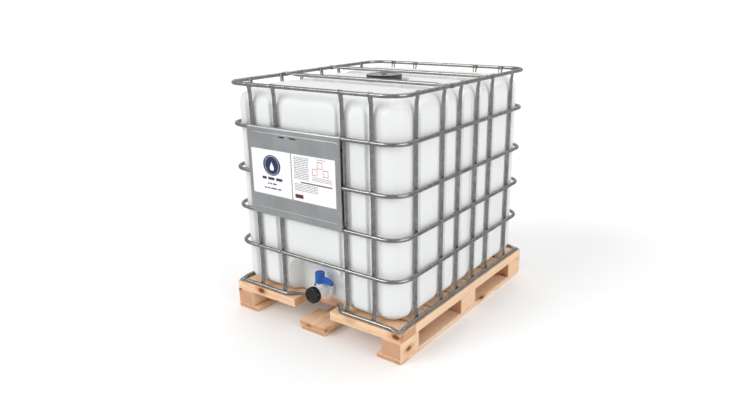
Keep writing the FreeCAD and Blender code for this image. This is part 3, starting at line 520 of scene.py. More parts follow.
# Rows of the wall and shoulder: how far in from the wall and how high.
BAY_ROWS_END, TOP_ROWS = 0.372, 1.02
PANEL_FADE, PANEL_CROWN, CROWN_REACH = 0.02, 0.12, 0.03
foot_turn = np.linspace(0, math.pi / 2, 9)
wall_z = np.unique(np.round(np.concatenate([
    np.arange(TANK_FOOT + FOOT_R, BAY_ROWS_END, 0.0052), np.arange(BAY_ROWS_END, TOP_ROWS, 0.050),
    np.arange(TOP_ROWS, TANK_TOP - SHOULDER_R, 0.0050), [TANK_TOP - SHOULDER_R]]), 5))
shoulder_turn = np.linspace(0, math.pi / 2, 17)[1:]
rows_in = np.concatenate([FOOT_R * (1 - np.sin(foot_turn)), np.zeros(len(wall_z) - 1),
                          SHOULDER_R * (1 - np.cos(shoulder_turn))])
rows_z = np.concatenate([TANK_FOOT + FOOT_R * (1 - np.cos(foot_turn)), wall_z[1:],
                         TANK_TOP - SHOULDER_R + SHOULDER_R * np.sin(shoulder_turn)])
rows_up = np.concatenate([-np.cos(foot_turn), np.zeros(len(wall_z) - 1), np.sin(shoulder_turn)])
column_gap, row_z = side_gap[None, :], rows_z[:, None]
panel_inside = inwards(column_gap, PANEL_TOP - row_z, PANEL_R)
above_foot = smooth(row_z, PANEL_FOOT - PANEL_FADE, PANEL_FOOT + PANEL_FADE)
panel = smooth(panel_inside, 0.0, PANEL_EDGE) * above_foot
crown = 1 - PANEL_CROWN * (1 - np.clip(column_gap / CROWN_REACH, 0, 1))
out = RECESS * panel * crown - rows_in[:, None]
tank_wall = np.zeros((len(rows_z), len(outline), 3))
tank_wall[..., :2] = outline[None] + away[None] * out[..., None]
tank_wall[..., 2] = row_z + RECESS * panel * 0.35 * rows_up[:, None]
tank_wall[..., 2] = np.minimum(tank_wall[..., 2], TANK_TOP)

# Rows of the top, from the shoulder to the neck's foot, and of the underside to its middle.
rim = tank_wall[-1]
neck_ring = rim[:, :2] / np.hypot(*rim[:, :2].T)[:, None]
share = np.concatenate([np.linspace(0, 0.86, 58)[1:], np.linspace(0.86, 1.0, 12)[1:]])
tank_top = np.zeros((len(share), len(outline), 3))
tank_top[..., :2] = (rim[None, :, :2] * (1 - share)[:, None, None]
                     + NECK_R * neck_ring[None] * share[:, None, None])
tank_top[..., 2] = TANK_TOP
grid = np.concatenate([tank_wall, tank_top])


def sunk(points, depth_z, mask):
    """Lowers points that stand above depth_z towards it, by the share in mask."""
    z = points[..., 2]
    points[..., 2] = z + (np.minimum(z, depth_z) - z) * mask


from_channel = np.abs(np.abs(grid[..., 1]) - CHANNEL_Y)
from_middle = np.hypot(grid[..., 0], grid[..., 1])
sunk(grid, CHANNEL_Z, 1 - smooth(from_channel, CHANNEL_HALF - CHANNEL_EDGE,
                                 CHANNEL_HALF + CHANNEL_EDGE))
sunk(grid, POCKET_Z, 1 - smooth(from_middle, POCKET_R - POCKET_EDGE, POCKET_R + POCKET_EDGE))

# The bay: an arch on the front, drawn back to its wall with soft edges.
bay_inside = inwards(BAY_HALF - np.abs(grid[..., 0]), BAY_TOP - grid[..., 2], BAY_R)
bay = smooth(bay_inside, -0.006, 0.022) * (grid[..., 1] < 0)
grid[..., 1] += (np.maximum(grid[..., 1], BAY_WALL) - grid[..., 1]) * bay

under = np.array([0.75, 0.5, 0.25, 0.0])[:, None, None] * grid[0][None]
under[..., 2] = TANK_FOOT + 0.004
bottle_rows = np.concatenate([under[::-1], grid])
closing = []
for radius, z in ((NECK_R, POCKET_Z), (NECK_BORE_R, POCKET_Z), (NECK_BORE_R, 1.0), (0.0, 0.995)):
    ring = np.zeros((len(outline), 3))
    ring[:, :2] = neck_ring * radius
    ring[:, 2] = z
    closing.append(ring)
bottle_rows = np.concatenate([bottle_rows, np.array(closing)])

# Natural high-density polyethylene, blow-moulded: milky and translucent, with a faint orange
# peel, slow changes of wall thickness and a waxy, half-matt surface.
hdpe, tree, shader = new_material("natural_polyethylene")
where = add(tree, "TexCoord").outputs["Object"]
thickness = add(tree, "TexNoise", {"Vector": where, "Scale": 3.2, "Detail": 2.0})
milk = add(tree, "Mix", {0: thickness, 6: linear("#eff0ef"), 7: linear("#e5e7e7")},
           data_type="RGBA")
peel = add(tree, "TexNoise", {"Vector": where, "Scale": 160.0, "Detail": 3.0})
rough = add(tree, "MapRange", {"Value": peel, "To Min": 0.36, "To Max": 0.50})
wave = add(tree, "TexNoise", {"Vector": where, "Scale": 9.0, "Detail": 2.0})
relief = add(tree, "Math", {0: wave, 1: 8.0, 2: peel}, operation="MULTIPLY_ADD")
bump = add(tree, "Bump", {"Height": relief, "Strength": 0.12, "Distance": 0.0008})
wire(tree, shader, {"Base Color": milk, "Roughness": rough, "Normal": bump, "IOR": 1.54,
                    "Subsurface Weight": 0.35, "Subsurface Radius": (0.030, 0.030, 0.030)})

bottle_shell = (bottle_rows, ring_faces(len(bottle_rows), len(outline)))
make_piece("bottle", [bottle_shell], "container", hdpe, ["tank"], 60.0)


def rings_of(corners, ease):
    """A closed profile of (radius, height), its corners eased but for those on the axis."""
    return corners_rounded(corners, [0.0 if r < 1e-6 else ease for r, _ in corners])


def screw_thread(low, high, outer, pitch, depth, turns_with=1):
    """Ripple that cuts a thread of one start into the outside between two heights."""
    def ripple(angle, radius, rise):
        wave_of = 0.5 + 0.5 * np.cos(2 * math.pi * rise / pitch - turns_with * angle)
        inside = smooth(rise, low, low + pitch / 2) * (1 - smooth(rise, high - pitch / 2, high))
        return np.where(radius > outer - 1e-5, -depth * wave_of * inside, 0.0)
    return ripple


# ---- Neck and outlet ----
# The filling neck and the outlet stub with its flange are moulded on their own in the same
# polyethylene and welded into the bottle. The neck has a coarse thread for the lid.

neck_low, neck_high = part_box("tank_neck")
NECK_PITCH = 0.0105
neck_rise = np.linspace(neck_low.z + 0.006, neck_high.z - 0.002, 40)
neck_outside = np.stack([np.full(40, NECK_R), neck_rise], 1)
neck_profile = np.concatenate([[(NECK_BORE_R, neck_low.z), (NECK_R - 0.001, neck_low.z)],
                               neck_outside, [(NECK_R - 0.001, neck_high.z),
                                              (NECK_BORE_R + 0.001, neck_high.z),
                                              (NECK_BORE_R, neck_high.z - 0.001)]])
neck_thread = screw_thread(neck_low.z + 0.010, neck_high.z - 0.004, NECK_R, NECK_PITCH, 0.0018)
make_piece("filling_neck", [solid_of_turn(neck_profile, (0, 0, 0), (0, 0, 1), 96, neck_thread,
                                          True)], "container", hdpe, ["tank_neck"])

OUTLET = (0.0, 0.0, 0.190)
FORWARD = (0.0, -1.0, 0.0)
BORE_R, STUB_R, FLANGE_R = 0.025, 0.031, 0.039
stub_low, stub_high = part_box("tank_outlet")
STUB_BACK, STUB_END, FLANGE_T = -stub_high.y, -stub_low.y, 0.006
stub_profile = rings_of([(BORE_R, STUB_BACK), (STUB_R, STUB_BACK), (STUB_R, STUB_END - FLANGE_T),
                         (FLANGE_R, STUB_END - FLANGE_T), (FLANGE_R, STUB_END),
                         (BORE_R, STUB_END)], 0.0009)
make_piece("outlet_stub", [solid_of_turn(stub_profile, OUTLET, FORWARD, 64, None, True)],
           "container", hdpe, ["tank_outlet"])


# ---- Hoops ----
# Five closed hoops of welded steel tube, bent cold with tight corner bends, hot-dip
# galvanised. Each is dented a little where it is resistance-welded to an upright, and has a
# butt weld at the back.

def flattened(thin, wide, flat=0.0, press=0.0, steps=16):
    """Section of a tube between round and flat, as (thin, wide) offsets round a turn.

    thin * cos(t) one way, (wide - flat) * sin(t) + flat * sign(sin(t)) the other; `press` dents
    the middle of the outer side.
    """
    t = np.linspace(0, 2 * math.pi, steps, endpoint=False)[None, :]
    thin, wide, flat, press = (np.reshape(np.asarray(v, float),
                                          (-1, 1)) for v in (thin, wide, flat, press))
    side = np.round(np.sin(t), 9)
    first = thin * np.cos(t) - press * np.clip(np.cos(t), 0, 1) ** 6
    second = (wide - flat) * side + flat * np.sign(side)
    return np.stack(np.broadcast_arrays(first, second), axis=-1)


def swept(centre, one, other, section, closed=False):
    """centre + one * section's first + other * section's second, for each row along a path.

    Open ends are closed on their middle.
    """
    points = centre[:, None] + one[:, None] * section[..., :1] + other[:, None] * section[..., 1:]
    if not closed:
        ends = [np.broadcast_to(points[k].mean(0), points[:1].shape) for k in (0, -1)]
        points = np.concatenate([ends[0], points, ends[1]])
    return points, ring_faces(len(points), points.shape[1], wrap_rows=closed)


def marks(low, high, spacing, places, reach, steps):
    """Even values from low to high, with `steps` close ones round each place instead."""
    even = np.linspace(low, high, int((high - low) / spacing) + 2)
    gap = np.abs(even[:, None] - np.asarray(places)[None, :]).min(axis=1)
    keep = (gap > reach * 1.2) | (even == low) | (even == high)
    close = [np.clip(place + np.linspace(-reach, reach, steps), low, high) for place in places]
    return np.unique(np.round(np.concatenate([even[keep], *close]), 5))


HOOP_X, HOOP_Y, HOOP_R, HOOP_BEND = 0.486, 0.586, 0.009, 0.092
BAR_R = 0.0085
BAR_X, BAR_Y = HOOP_X - HOOP_R - BAR_R, HOOP_Y - HOOP_R - BAR_R
DENT_REACH, DENT = 0.0075, 0.0011
BUTT_WELD_X, BUTT_WELD_H, BUTT_WELD_HALF = 0.045, 0.0006, 0.0022
OVAL_BY, OVAL_AT, OVAL_REACH = 0.0004, 0.027, 0.05
ROW_GAP, NEAR_WELD, NEAR_ROWS = 0.03, 0.015, 11
UP = np.array([[0.0, 0.0, 1.0]])

# Galvanised tube: bright zinc gone slightly dull, with spangle about 6 mm across, drawn-out
# runs in the zinc and small rough spots, so that highlights break up along the tube.
zinc_tube, tree, shader = new_material("hot_dip_galvanised_tube")
where = add(tree, "TexCoord").outputs["Object"]
spangle = add(tree, "TexVoronoi", {"Vector": where, "Scale": 165.0, "Randomness": 1.0})
cloud = add(tree, "TexNoise", {"Vector": where, "Scale": 22.0, "Detail": 5.0, "Roughness": 0.62})
grit = add(tree, "TexNoise", {"Vector": where, "Scale": 750.0, "Detail": 3.0})
crystal = add(tree, "SeparateColor", {0: spangle.outputs["Color"]})
mottle = add(tree, "Math", {0: crystal, 1: 0.20, 2: cloud}, operation="MULTIPLY_ADD")
zinc_shade = add(tree, "MapRange", {"Value": mottle, "From Min": 0.35, "From Max": 1.0})
zinc_colour = add(tree, "Mix", {0: zinc_shade, 6: linear("#868583"), 7: linear("#b0aeab")},
                  data_type="RGBA")
zinc_rough = add(tree, "MapRange", {"Value": cloud, "From Min": 0.3, "From Max": 0.7,
                                    "To Min": 0.20, "To Max": 0.34})
zinc_relief = add(tree, "Math", {0: grit, 1: 0.08, 2: cloud}, operation="MULTIPLY_ADD")
zinc_bump = add(tree, "Bump", {"Height": zinc_relief, "Strength": 0.15, "Distance": 0.0004})
wire(tree, shader, {"Base Color": zinc_colour, "Roughness": zinc_rough, "Normal": zinc_bump,
                    "Metallic": 1.0})

hoop_line_x = marks(HOOP_BEND - HOOP_X, HOOP_X - HOOP_BEND, ROW_GAP, bar_x + [BUTT_WELD_X],
                    NEAR_WELD, NEAR_ROWS)
hoop_line_y = marks(HOOP_BEND - HOOP_Y, HOOP_Y - HOOP_BEND, ROW_GAP, bar_y, NEAR_WELD, NEAR_ROWS)
hoop_path, hoop_away = rounded_rectangle(HOOP_X, HOOP_Y, HOOP_BEND, hoop_line_x, hoop_line_y)
crossings = np.array([(x, s * HOOP_Y) for x in bar_x for s in (-1, 1)]
                     + [(s * HOOP_X, y) for y in bar_y for s in (-1, 1)])
to_crossing = np.hypot(*(hoop_path[:, None] - crossings[None]).T).min(axis=0)
dent = np.exp(-(to_crossing / DENT_REACH) ** 2)
to_butt_weld = np.hypot(*(hoop_path - (BUTT_WELD_X, HOOP_Y)).T)
bead = BUTT_WELD_H * np.exp(-(to_butt_weld / BUTT_WELD_HALF) ** 2)
from_bend = (np.abs(np.abs(hoop_path[:, 0]) - (HOOP_X - OVAL_AT))
             + np.abs(np.abs(hoop_path[:, 1]) - (HOOP_Y - OVAL_AT)))
ovality = OVAL_BY * np.exp(-(from_bend / OVAL_REACH) ** 2)
hoop_section = flattened(HOOP_R - 0.45 * DENT * dent + bead - ovality,
                         HOOP_R + 0.0001 * dent + bead + 0.3 * ovality, 0.0, 0.9 * DENT * dent)
hoop_nodes = ["cage_top_ring", "cage_ring_2", "cage_ring_3", "cage_ring_4", "cage_ring_5"]
away_of = np.column_stack([hoop_away, np.zeros(len(hoop_away))])
hoop_heights = []
for number, node in enumerate(hoop_nodes, 1):
    low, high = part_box(node)
    height = (low.z + high.z) / 2
    hoop_heights.append(height)
    line = np.column_stack([hoop_path, np.full(len(hoop_path), height)])
    make_piece(f"hoop_{number}", [swept(line, away_of, UP, hoop_section, closed=True)],
               "container", zinc_tube, [node], 55.0)


# ---- Uprights ----
# Vertical tubes inside the hoops. Their ends are pressed to flat tongues that lie against the
# top and bottom hoops, with the crease of the press running down into the round tube.

TONGUE_HALF_W, TONGUE_HALF_T, PRESS_L = 0.0125, 0.0025, 0.034
bar_low, bar_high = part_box("cage_bars_front")[0].z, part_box("cage_bars_front")[1].z
TONGUE_L, TONGUE_CREASE, END_DRAWN = 0.018, 0.0017, 0.86
ROUND_FROM = deck_z + TONGUE_L + PRESS_L
ROUND_TO = bar_high - TONGUE_L - PRESS_L
press_rows = np.linspace(0, 1, 11)
bar_z = np.concatenate([
    [bar_low, bar_low + 0.0008, bar_low + 0.007], ROUND_FROM - PRESS_L * press_rows[::-1],
    np.linspace(ROUND_FROM, ROUND_TO, 30)[1:-1], ROUND_TO + PRESS_L * press_rows,
    [bar_high - 0.007, bar_high - 0.0008, bar_high]])
pressed = np.clip(np.maximum(ROUND_FROM - bar_z, bar_z - ROUND_TO) / PRESS_L, 0, 1)
end_draw = np.ones(len(bar_z))
end_draw[[0, -1]] = END_DRAWN
bar_section = flattened((BAR_R + (TONGUE_HALF_T - BAR_R) * pressed) * end_draw,
                        (BAR_R + (TONGUE_HALF_W - BAR_R) * pressed) * end_draw,
                        TONGUE_HALF_W * 0.84 * pressed * end_draw,
                        TONGUE_CREASE * np.sin(math.pi * pressed))
bar_shift = (BAR_R - TONGUE_HALF_T) * pressed


def upright(x, y, outward):
    """One upright at (x, y): rows up its length, moved outward as it is pressed flat."""
    outward = np.array([*outward, 0.0])
    across = np.array([-outward[1], outward[0], 0.0])
    centre = np.array([x, y, 0.0]) + bar_z[:, None] * (0, 0, 1) + bar_shift[:, None] * outward
    return swept(centre, outward[None], across[None], bar_section)


bar_sides = {"front": [(x, -BAR_Y, (0.0, -1.0)) for x in bar_x],
             "back": [(x, BAR_Y, (0.0, 1.0)) for x in bar_x],
             "left": [(-BAR_X, y, (-1.0, 0.0)) for y in bar_y],
             "right": [(BAR_X, y, (1.0, 0.0)) for y in bar_y]}
for side, bars in bar_sides.items():
    make_piece("uprights_" + side, [upright(*bar) for bar in bars], "container", zinc_tube,
               ["cage_bars_" + side], 42.0)

# Weld nuggets between hoops and uprights, squeezed out as flat buttons.
weld_turn = np.linspace(-math.pi / 2, math.pi / 2, 6)
NUGGET_R, NUGGET_H = 0.0056, 0.0017
weld_profile = np.stack([NUGGET_R * np.cos(weld_turn), NUGGET_H * np.sin(weld_turn)], 1)
weld_profile[[0, -1], 0] = 0.0
weld_shells = []
for side, bars in bar_sides.items():
    for x, y, outward in bars:
        nugget = solid_of_turn(weld_profile, (x + BAR_R * outward[0], y + BAR_R * outward[1], 0.0),
                               (*outward, 0.0), 10)
        weld_shells += copies(nugget, [(0.0, 0.0,
                                        height) for height in [*hoop_heights, deck_z + HOOP_R]])
make_piece("cage_welds", weld_shells, "container", zinc_tube)


# ---- Bottom hoop ----
# The hoop that holds the cage on the pallet: the same tube, pinched flat at the four corners
# and screwed down, and open at the valve, where both ends bend inward to a flat with a screw.

FLAT_HALF_W, FLAT_HALF_T, PINCH_L, PINCH_CREASE = 0.012, 0.0025, 0.034, 0.0014
SWELL, SWELL_AT = 0.002, 0.006
PAD_R = 0.015
CORNER_TURN = 0.014
TAIL_ROUND, TAIL_END = 0.012, 0.0755
GAP_HALF, GAP_BEND, GAP_TURN = 0.15, 0.040, math.radians(50)
corner_run = np.concatenate([np.linspace(0.013, 0.050, 14), np.linspace(0.065, 0.40, 9)])
quarter = np.radians(np.linspace(90, 0, 9))
arc = np.stack([np.cos(quarter), np.sin(quarter)], 1) * CORNER_TURN
back_run = np.stack([HOOP_X - corner_run[::-1], np.full(len(corner_run), HOOP_Y)], 1)
back_turn = arc + (HOOP_X - CORNER_TURN, HOOP_Y - CORNER_TURN)
side_y = np.concatenate([HOOP_Y - corner_run[corner_run > CORNER_TURN],
                         corner_run[corner_run > CORNER_TURN][::-1] - HOOP_Y])
side_run = np.stack([np.full(len(side_y), HOOP_X), side_y], 1)
front_turn = (arc * (1, -1))[::-1] + (HOOP_X - CORNER_TURN, CORNER_TURN - HOOP_Y)
front_x = HOOP_X - corner_run[(corner_run > CORNER_TURN) & (corner_run < 0.29)]
front_run = np.stack([front_x, np.full(len(front_x), -HOOP_Y)], 1)
gap_turn = np.radians(np.linspace(270, 220, 10))
gap_centre = np.array([GAP_HALF + GAP_BEND * math.sin(GAP_TURN), GAP_BEND - HOOP_Y])
gap_arc = gap_centre + GAP_BEND * np.stack([np.cos(gap_turn), np.sin(gap_turn)], 1)
tail_way = np.array([-math.cos(GAP_TURN), math.sin(GAP_TURN)])
tail_rows = np.concatenate([np.linspace(0.004, 0.046, 13), np.linspace(0.049, TAIL_END, 14)])
tail_run = gap_arc[-1] + tail_rows[:, None] * tail_way
right_half = np.concatenate([[(0.0, HOOP_Y)], back_run[corner_run[::-1] > CORNER_TURN], back_turn,
                             side_run, front_turn, front_run, gap_arc, tail_run])
on_tail = np.concatenate([np.full(len(right_half) - len(tail_rows), -1.0), tail_rows])
to_corner = np.minimum(*(np.hypot(*(right_half - (HOOP_X, s * HOOP_Y)).T) for s in (-1, 1)))
pinch = np.maximum(1 - np.clip((to_corner - 0.011) / PINCH_L, 0, 1),
                   np.clip((on_tail - TAIL_ROUND) / PINCH_L, 0, 1))
pad_gap = on_tail - (TAIL_ROUND + PINCH_L + PAD_R)
pad_round = np.sqrt(np.clip(PAD_R ** 2 - pad_gap ** 2, 1e-9, None))
corner_swell = SWELL * np.exp(-((to_corner - SWELL_AT) / SWELL_AT) ** 2)
half_wide = HOOP_R + (FLAT_HALF_W - HOOP_R) * pinch + corner_swell
on_pad = np.where(pad_gap > 0, pad_round, np.maximum(half_wide, pad_round))
half_wide = np.where((pad_gap > 0) | (on_tail > 0), on_pad, half_wide)
half_thin = HOOP_R + (FLAT_HALF_T - HOOP_R) * pinch


def both_halves(half):
    """A half path from the middle, with its mirror image ahead of it: which row of the half
    each point comes from, the points, and the unit direction of travel at each."""
    rows = np.concatenate([np.arange(len(half))[:0:-1], np.arange(len(half))])
    mirror = np.concatenate([np.full(len(half) - 1, -1.0), np.ones(len(half))])
    path = half[rows] * np.stack([mirror, np.ones(len(rows))], 1)
    way = np.gradient(path, axis=0)
    return rows, path, way / np.hypot(*way.T)[:, None]


rows, foot_path, way = both_halves(right_half)
foot_across = np.column_stack([way[:, 1], -way[:, 0], np.zeros(len(rows))])
foot_line = np.column_stack([foot_path, deck_z + half_thin[rows]])
foot_section = flattened(half_thin[rows], half_wide[rows], half_wide[rows] * 0.80 * pinch[rows],
                         PINCH_CREASE * np.sin(math.pi * pinch[rows]))
make_piece("bottom_hoop", [swept(foot_line, UP, foot_across, foot_section)], "container",
           zinc_tube, ["cage_bottom_ring"], 45.0)

# Zinc-plated steel: brighter and bluer than the galvanised tube, finely clouded.
zinc_plate = mottled("bright_zinc_plated_steel", 480.0, 4.0, "#8f9499", "#c6c8c8", 0.22, 0.48, 1.0)


def recess_of_four(angle, radius, rise):
    """Opens the small recess in a screw's head into four lobes."""
    return np.where(radius < 0.0027, 0.0008 * np.cos(4 * angle), 0.0)


SCREW_PROFILE = np.array([(0.0, 0.0021), (0.0013, 0.0021), (0.0021, 0.0039), (0.0035, 0.0039),
                          (0.0046, 0.0034), (0.0060, 0.0018), (0.0065, 0.0006), (0.0064, 0.0),
                          (0.0024, -0.0002), (0.0024, -0.028), (0.0, -0.030)])
SCREW_IN = 0.006
foot_pads = [(s * (HOOP_X - SCREW_IN), t * (HOOP_Y - SCREW_IN), deck_z + 2 * FLAT_HALF_T)
             for s in (-1, 1) for t in (-1, 1)]
tail_pad = gap_arc[-1] + (TAIL_ROUND + PINCH_L + PAD_R) * tail_way
foot_pads += [(s * tail_pad[0], tail_pad[1], deck_z + 2 * FLAT_HALF_T) for s in (-1, 1)]
foot_screw = solid_of_turn(SCREW_PROFILE, (0, 0, 0), (0, 0, 1), 32, recess_of_four)
make_piece("foot_screws", copies(foot_screw, foot_pads), "container", zinc_plate,
           ["cage_foot_screws"], 35.0)


# ---- Cross bars ----
# Two tubes over the bottle that keep it down. Their ends are pressed flat, wrapped round the
# top hoop as a strap and closed with a bolt.

TOP_HOOP_Z = hoop_heights[0]
STRAP_HALF_W, STRAP_HALF_T, WRAP_R = 0.013, 0.001, 0.01025
CROSS_ROUND = 0.4057
wrap_turn = np.radians(np.linspace(121, -150, 30))
wrap_line = (HOOP_X, TOP_HOOP_Z) + WRAP_R * np.stack([np.cos(wrap_turn), np.sin(wrap_turn)], 1)
cross_x = np.concatenate([np.linspace(0, CROSS_ROUND, 14), CROSS_ROUND + PRESS_L * press_rows[1:],
                          [0.446, 0.454, 0.462, 0.4655]])
rise = np.stack([np.linspace(0.468, wrap_line[0, 0], 7)[:-1],
                 np.linspace(TOP_HOOP_Z + 0.0008, wrap_line[0, 1], 7)[:-1]], 1)
cross_half = np.concatenate([np.stack([cross_x, np.full(len(cross_x), TOP_HOOP_Z)], 1), rise,
                             wrap_line])
flat_share = np.clip((cross_half[:, 0] - CROSS_ROUND) / PRESS_L, 0, 1)
strap_share = smooth(cross_half[:, 0], 0.465, 0.478)
strap_share[len(cross_x) + len(rise):] = 1.0
flat_share[len(cross_x):] = 1.0
thin = HOOP_R + (FLAT_HALF_T - HOOP_R) * flat_share
thin = thin + (STRAP_HALF_T - thin) * strap_share
wide = HOOP_R + (FLAT_HALF_W - HOOP_R) * flat_share + (STRAP_HALF_W - FLAT_HALF_W) * strap_share
rows, cross_line, way = both_halves(cross_half)
cross_lift = np.column_stack([-way[:, 1], np.zeros(len(rows)), way[:, 0]])
cross_side = np.array([[0.0, 1.0, 0.0]])
cross_section = flattened(thin[rows], wide[rows], wide[rows] * 0.86 * flat_share[rows],
                          PINCH_CREASE * np.sin(math.pi * flat_share[rows]))
for name, place in (("front", -CHANNEL_Y), ("rear", CHANNEL_Y)):
    line = np.column_stack([cross_line[:, 0], np.full(len(rows), place), cross_line[:, 1]])
    make_piece("cross_bar_tube_" + name, [swept(line, cross_lift, cross_side, cross_section)],
               "container", zinc_tube, ["cross_bar_" + name], 42.0)


def hexagon(angle, radius, rise):
    """Draws a round head out to six corners: radius / cos of the angle from the nearest flat."""
    from_flat = (angle + math.pi / 6) % (math.pi / 3) - math.pi / 6
    return np.where(radius > 0.0042, radius * (1 / np.cos(from_flat) - 1), 0.0)


BOLT_X, HEAD_FLAT, HEAD_H = 0.4617, 0.005, 0.004
head_profile = np.array([(0.0, HEAD_H), (0.0041, HEAD_H), (0.0048, HEAD_H - 0.0003),
                         (HEAD_FLAT, HEAD_H - 0.0009), (HEAD_FLAT, 0.0), (0.0, 0.0)])
shank_profile = rings_of([(0.0, 0.0), (0.003, 0.0), (0.003, 0.0132), (0.0, 0.0132)], 0.0004)
bolt_shells = []
for s in (-1, 1):
    for place in (-CHANNEL_Y, CHANNEL_Y):
        top = (s * BOLT_X, place, TOP_HOOP_Z + FLAT_HALF_T)
        below = (s * BOLT_X, place, TOP_HOOP_Z - FLAT_HALF_T - HEAD_H)
        bolt_shells.append(solid_of_turn(head_profile, top, (0, 0, 1), 36, hexagon))
        bolt_shells.append(solid_of_turn(head_profile, below, (0, 0, 1), 36, hexagon))
        bolt_shells.append(solid_of_turn(shank_profile, below, (0, 0, 1), 20))
make_piece("cross_bar_fixings", bolt_shells, "container", zinc_plate,
           ["cross_bar_bolts"], 30.0)


# ---- Label plate ----
# A sheet of galvanised steel hooked over two hoops and riveted to them, with a pressed bead
# near its edge for stiffness and two punched slots.

plate_low, plate_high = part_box("label_plate")
SHEET_T = 0.0012
HOOK_R = HOOP_R + 0.0003 + SHEET_T / 2
PLATE_Z0, PLATE_Z1 = hoop_heights[3], hoop_heights[1]
PLATE_X0, PLATE_X1 = plate_low.x, plate_high.x
PLATE_Y = -HOOP_Y - HOOK_R
SLOT_SPANS = [(-0.1527, -0.1187), (-0.0870, -0.0530)]
SLOT_Z = (0.91675, 0.92275)
BEAD_IN, BEAD_TURN, BEAD_HALF, BEAD_H = 0.011, 0.016, 0.0028, 0.0013
bead_x = (PLATE_X0 + BEAD_IN, PLATE_X1 - BEAD_IN)
bead_z = (PLATE_Z0 + 0.024, PLATE_Z1 - 0.020)
slot_edges = [edge for span in SLOT_SPANS for edge in span]
plate_columns = marks(PLATE_X0, PLATE_X1, 0.02, [bead_x[0] + 0.005, bead_x[1] - 0.005], 0.012, 21)
plate_columns = np.unique(np.round(np.concatenate([plate_columns, slot_edges]), 5))
plate_z = marks(PLATE_Z0, PLATE_Z1, 0.02, [bead_z[0] + 0.005, bead_z[1] - 0.005], 0.012, 21)
plate_z = np.unique(np.round(np.concatenate([plate_z, SLOT_Z]), 5))[::-1]
upper = np.radians(np.linspace(72, 172, 13))
lower = np.radians(np.linspace(188, 288, 13))
plate_rows = np.concatenate([
    np.stack([-HOOP_Y + HOOK_R * np.cos(upper), PLATE_Z1 + HOOK_R * np.sin(upper)], 1),
    np.stack([np.full(len(plate_z), PLATE_Y), plate_z], 1),
    np.stack([-HOOP_Y + HOOK_R * np.cos(lower), PLATE_Z0 + HOOK_R * np.sin(lower)], 1)])
sheet = np.zeros((len(plate_rows), len(plate_columns), 3))
sheet[..., 0] = plate_columns[None]
sheet[..., 1:] = plate_rows[:, None]
gap_x = (bead_x[1] - bead_x[0]) / 2 - np.abs(sheet[..., 0] - sum(bead_x) / 2)
gap_z = (bead_z[1] - bead_z[0]) / 2 - np.abs(sheet[..., 2] - sum(bead_z) / 2)
sheet[..., 1] -= BEAD_H * np.exp(-(inwards(gap_x, gap_z, BEAD_TURN) / BEAD_HALF) ** 2)
sheet_faces = ring_faces(len(plate_rows), len(plate_columns), wrap_columns=False)
middle = sheet.reshape(-1, 3)[sheet_faces].mean(axis=1)
in_slot = np.zeros(len(sheet_faces), bool)
for x0, x1 in SLOT_SPANS:
    between_ends = (middle[:, 0] > x0) & (middle[:, 0] < x1)
    in_slot |= between_ends & (middle[:, 2] > SLOT_Z[0]) & (middle[:, 2] < SLOT_Z[1])

# Galvanised sheet: smooth, softly clouded zinc with faint rolling lines along its length.
zinc_sheet, tree, shader = new_material("galvanised_sheet_steel")
where = add(tree, "TexCoord").outputs["Object"]
cloud = add(tree, "TexNoise", {"Vector": where, "Scale": 7.0, "Detail": 4.0, "Roughness": 0.55})
flake = add(tree, "TexVoronoi", {"Vector": where, "Scale": 130.0})
flake_tone = add(tree, "SeparateColor", {0: flake.outputs["Color"]})
rolled_place = add(tree, "Mapping", {"Vector": where, "Scale": (3.0, 60.0, 420.0)})
rolled = add(tree, "TexNoise", {"Vector": rolled_place, "Scale": 1.0, "Detail": 4.0})
mottle = add(tree, "Math", {0: flake_tone, 1: 0.08, 2: cloud}, operation="MULTIPLY_ADD")
sheet_shade = add(tree, "Math", {0: rolled, 1: 0.15, 2: mottle}, operation="MULTIPLY_ADD")
sheet_range = add(tree, "MapRange", {"Value": sheet_shade, "From Min": 0.4, "From Max": 1.0})
sheet_colour = add(tree, "Mix", {0: sheet_range, 6: linear("#b0b1b2"), 7: linear("#cacbcb")},
                   data_type="RGBA")
sheet_rough = add(tree, "MapRange", {"Value": rolled, "From Min": 0.3, "From Max": 0.7,
                                     "To Min": 0.34, "To Max": 0.46})
sheet_bump = add(tree, "Bump", {"Height": rolled, "Strength": 0.06, "Distance": 0.0002})
wire(tree, shader, {"Base Color": sheet_colour, "Roughness": sheet_rough, "Normal": sheet_bump,
                    "Metallic": 1.0})

plate = make_piece("label_plate_sheet", [(sheet, sheet_faces[~in_slot])], "container", zinc_sheet,
                   ["label_plate"], 50.0)
wall = plate.modifiers.new("sheet_thickness", "SOLIDIFY")
wall.thickness = SHEET_T
wall.offset = 0.0

# Blind rivets of bare aluminium, with the broken mandrel as a pit in the dome.
aluminium = mottled("bare_aluminium", 600.0, 3.0, "#a2a4a6", "#d2d3d4", 0.25, 0.45, 1.0)

PLATE_FRONT = -PLATE_Y + SHEET_T / 2
RIVET_PROFILE = np.array([(0.0, 0.0004), (0.0009, 0.0004), (0.0010, 0.0014), (0.0019, 0.0016),
                          (0.0032, 0.0012), (0.0042, 0.0005), (0.0045, -0.0001), (0.002, -0.0001),
                          (0.002, -0.009), (0.0, -0.009)])
rivet_places = [(x, -PLATE_FRONT, z) for x in (PLATE_X0 + 0.014,
                                               PLATE_X1 - 0.014) for z in (PLATE_Z0, PLATE_Z1)]
rivet = solid_of_turn(RIVET_PROFILE, (0, 0, 0), FORWARD, 24)
make_piece("blind_rivets", copies(rivet, rivet_places), "container", aluminium,
           ["plate_rivets"], 40.0)


# ---- Labels ----
# Two self-adhesive labels of white film. Their printing is generic: a disc with a drop, lines
# that stand for text, and plain squares, each laid on the film as a thin layer of ink.

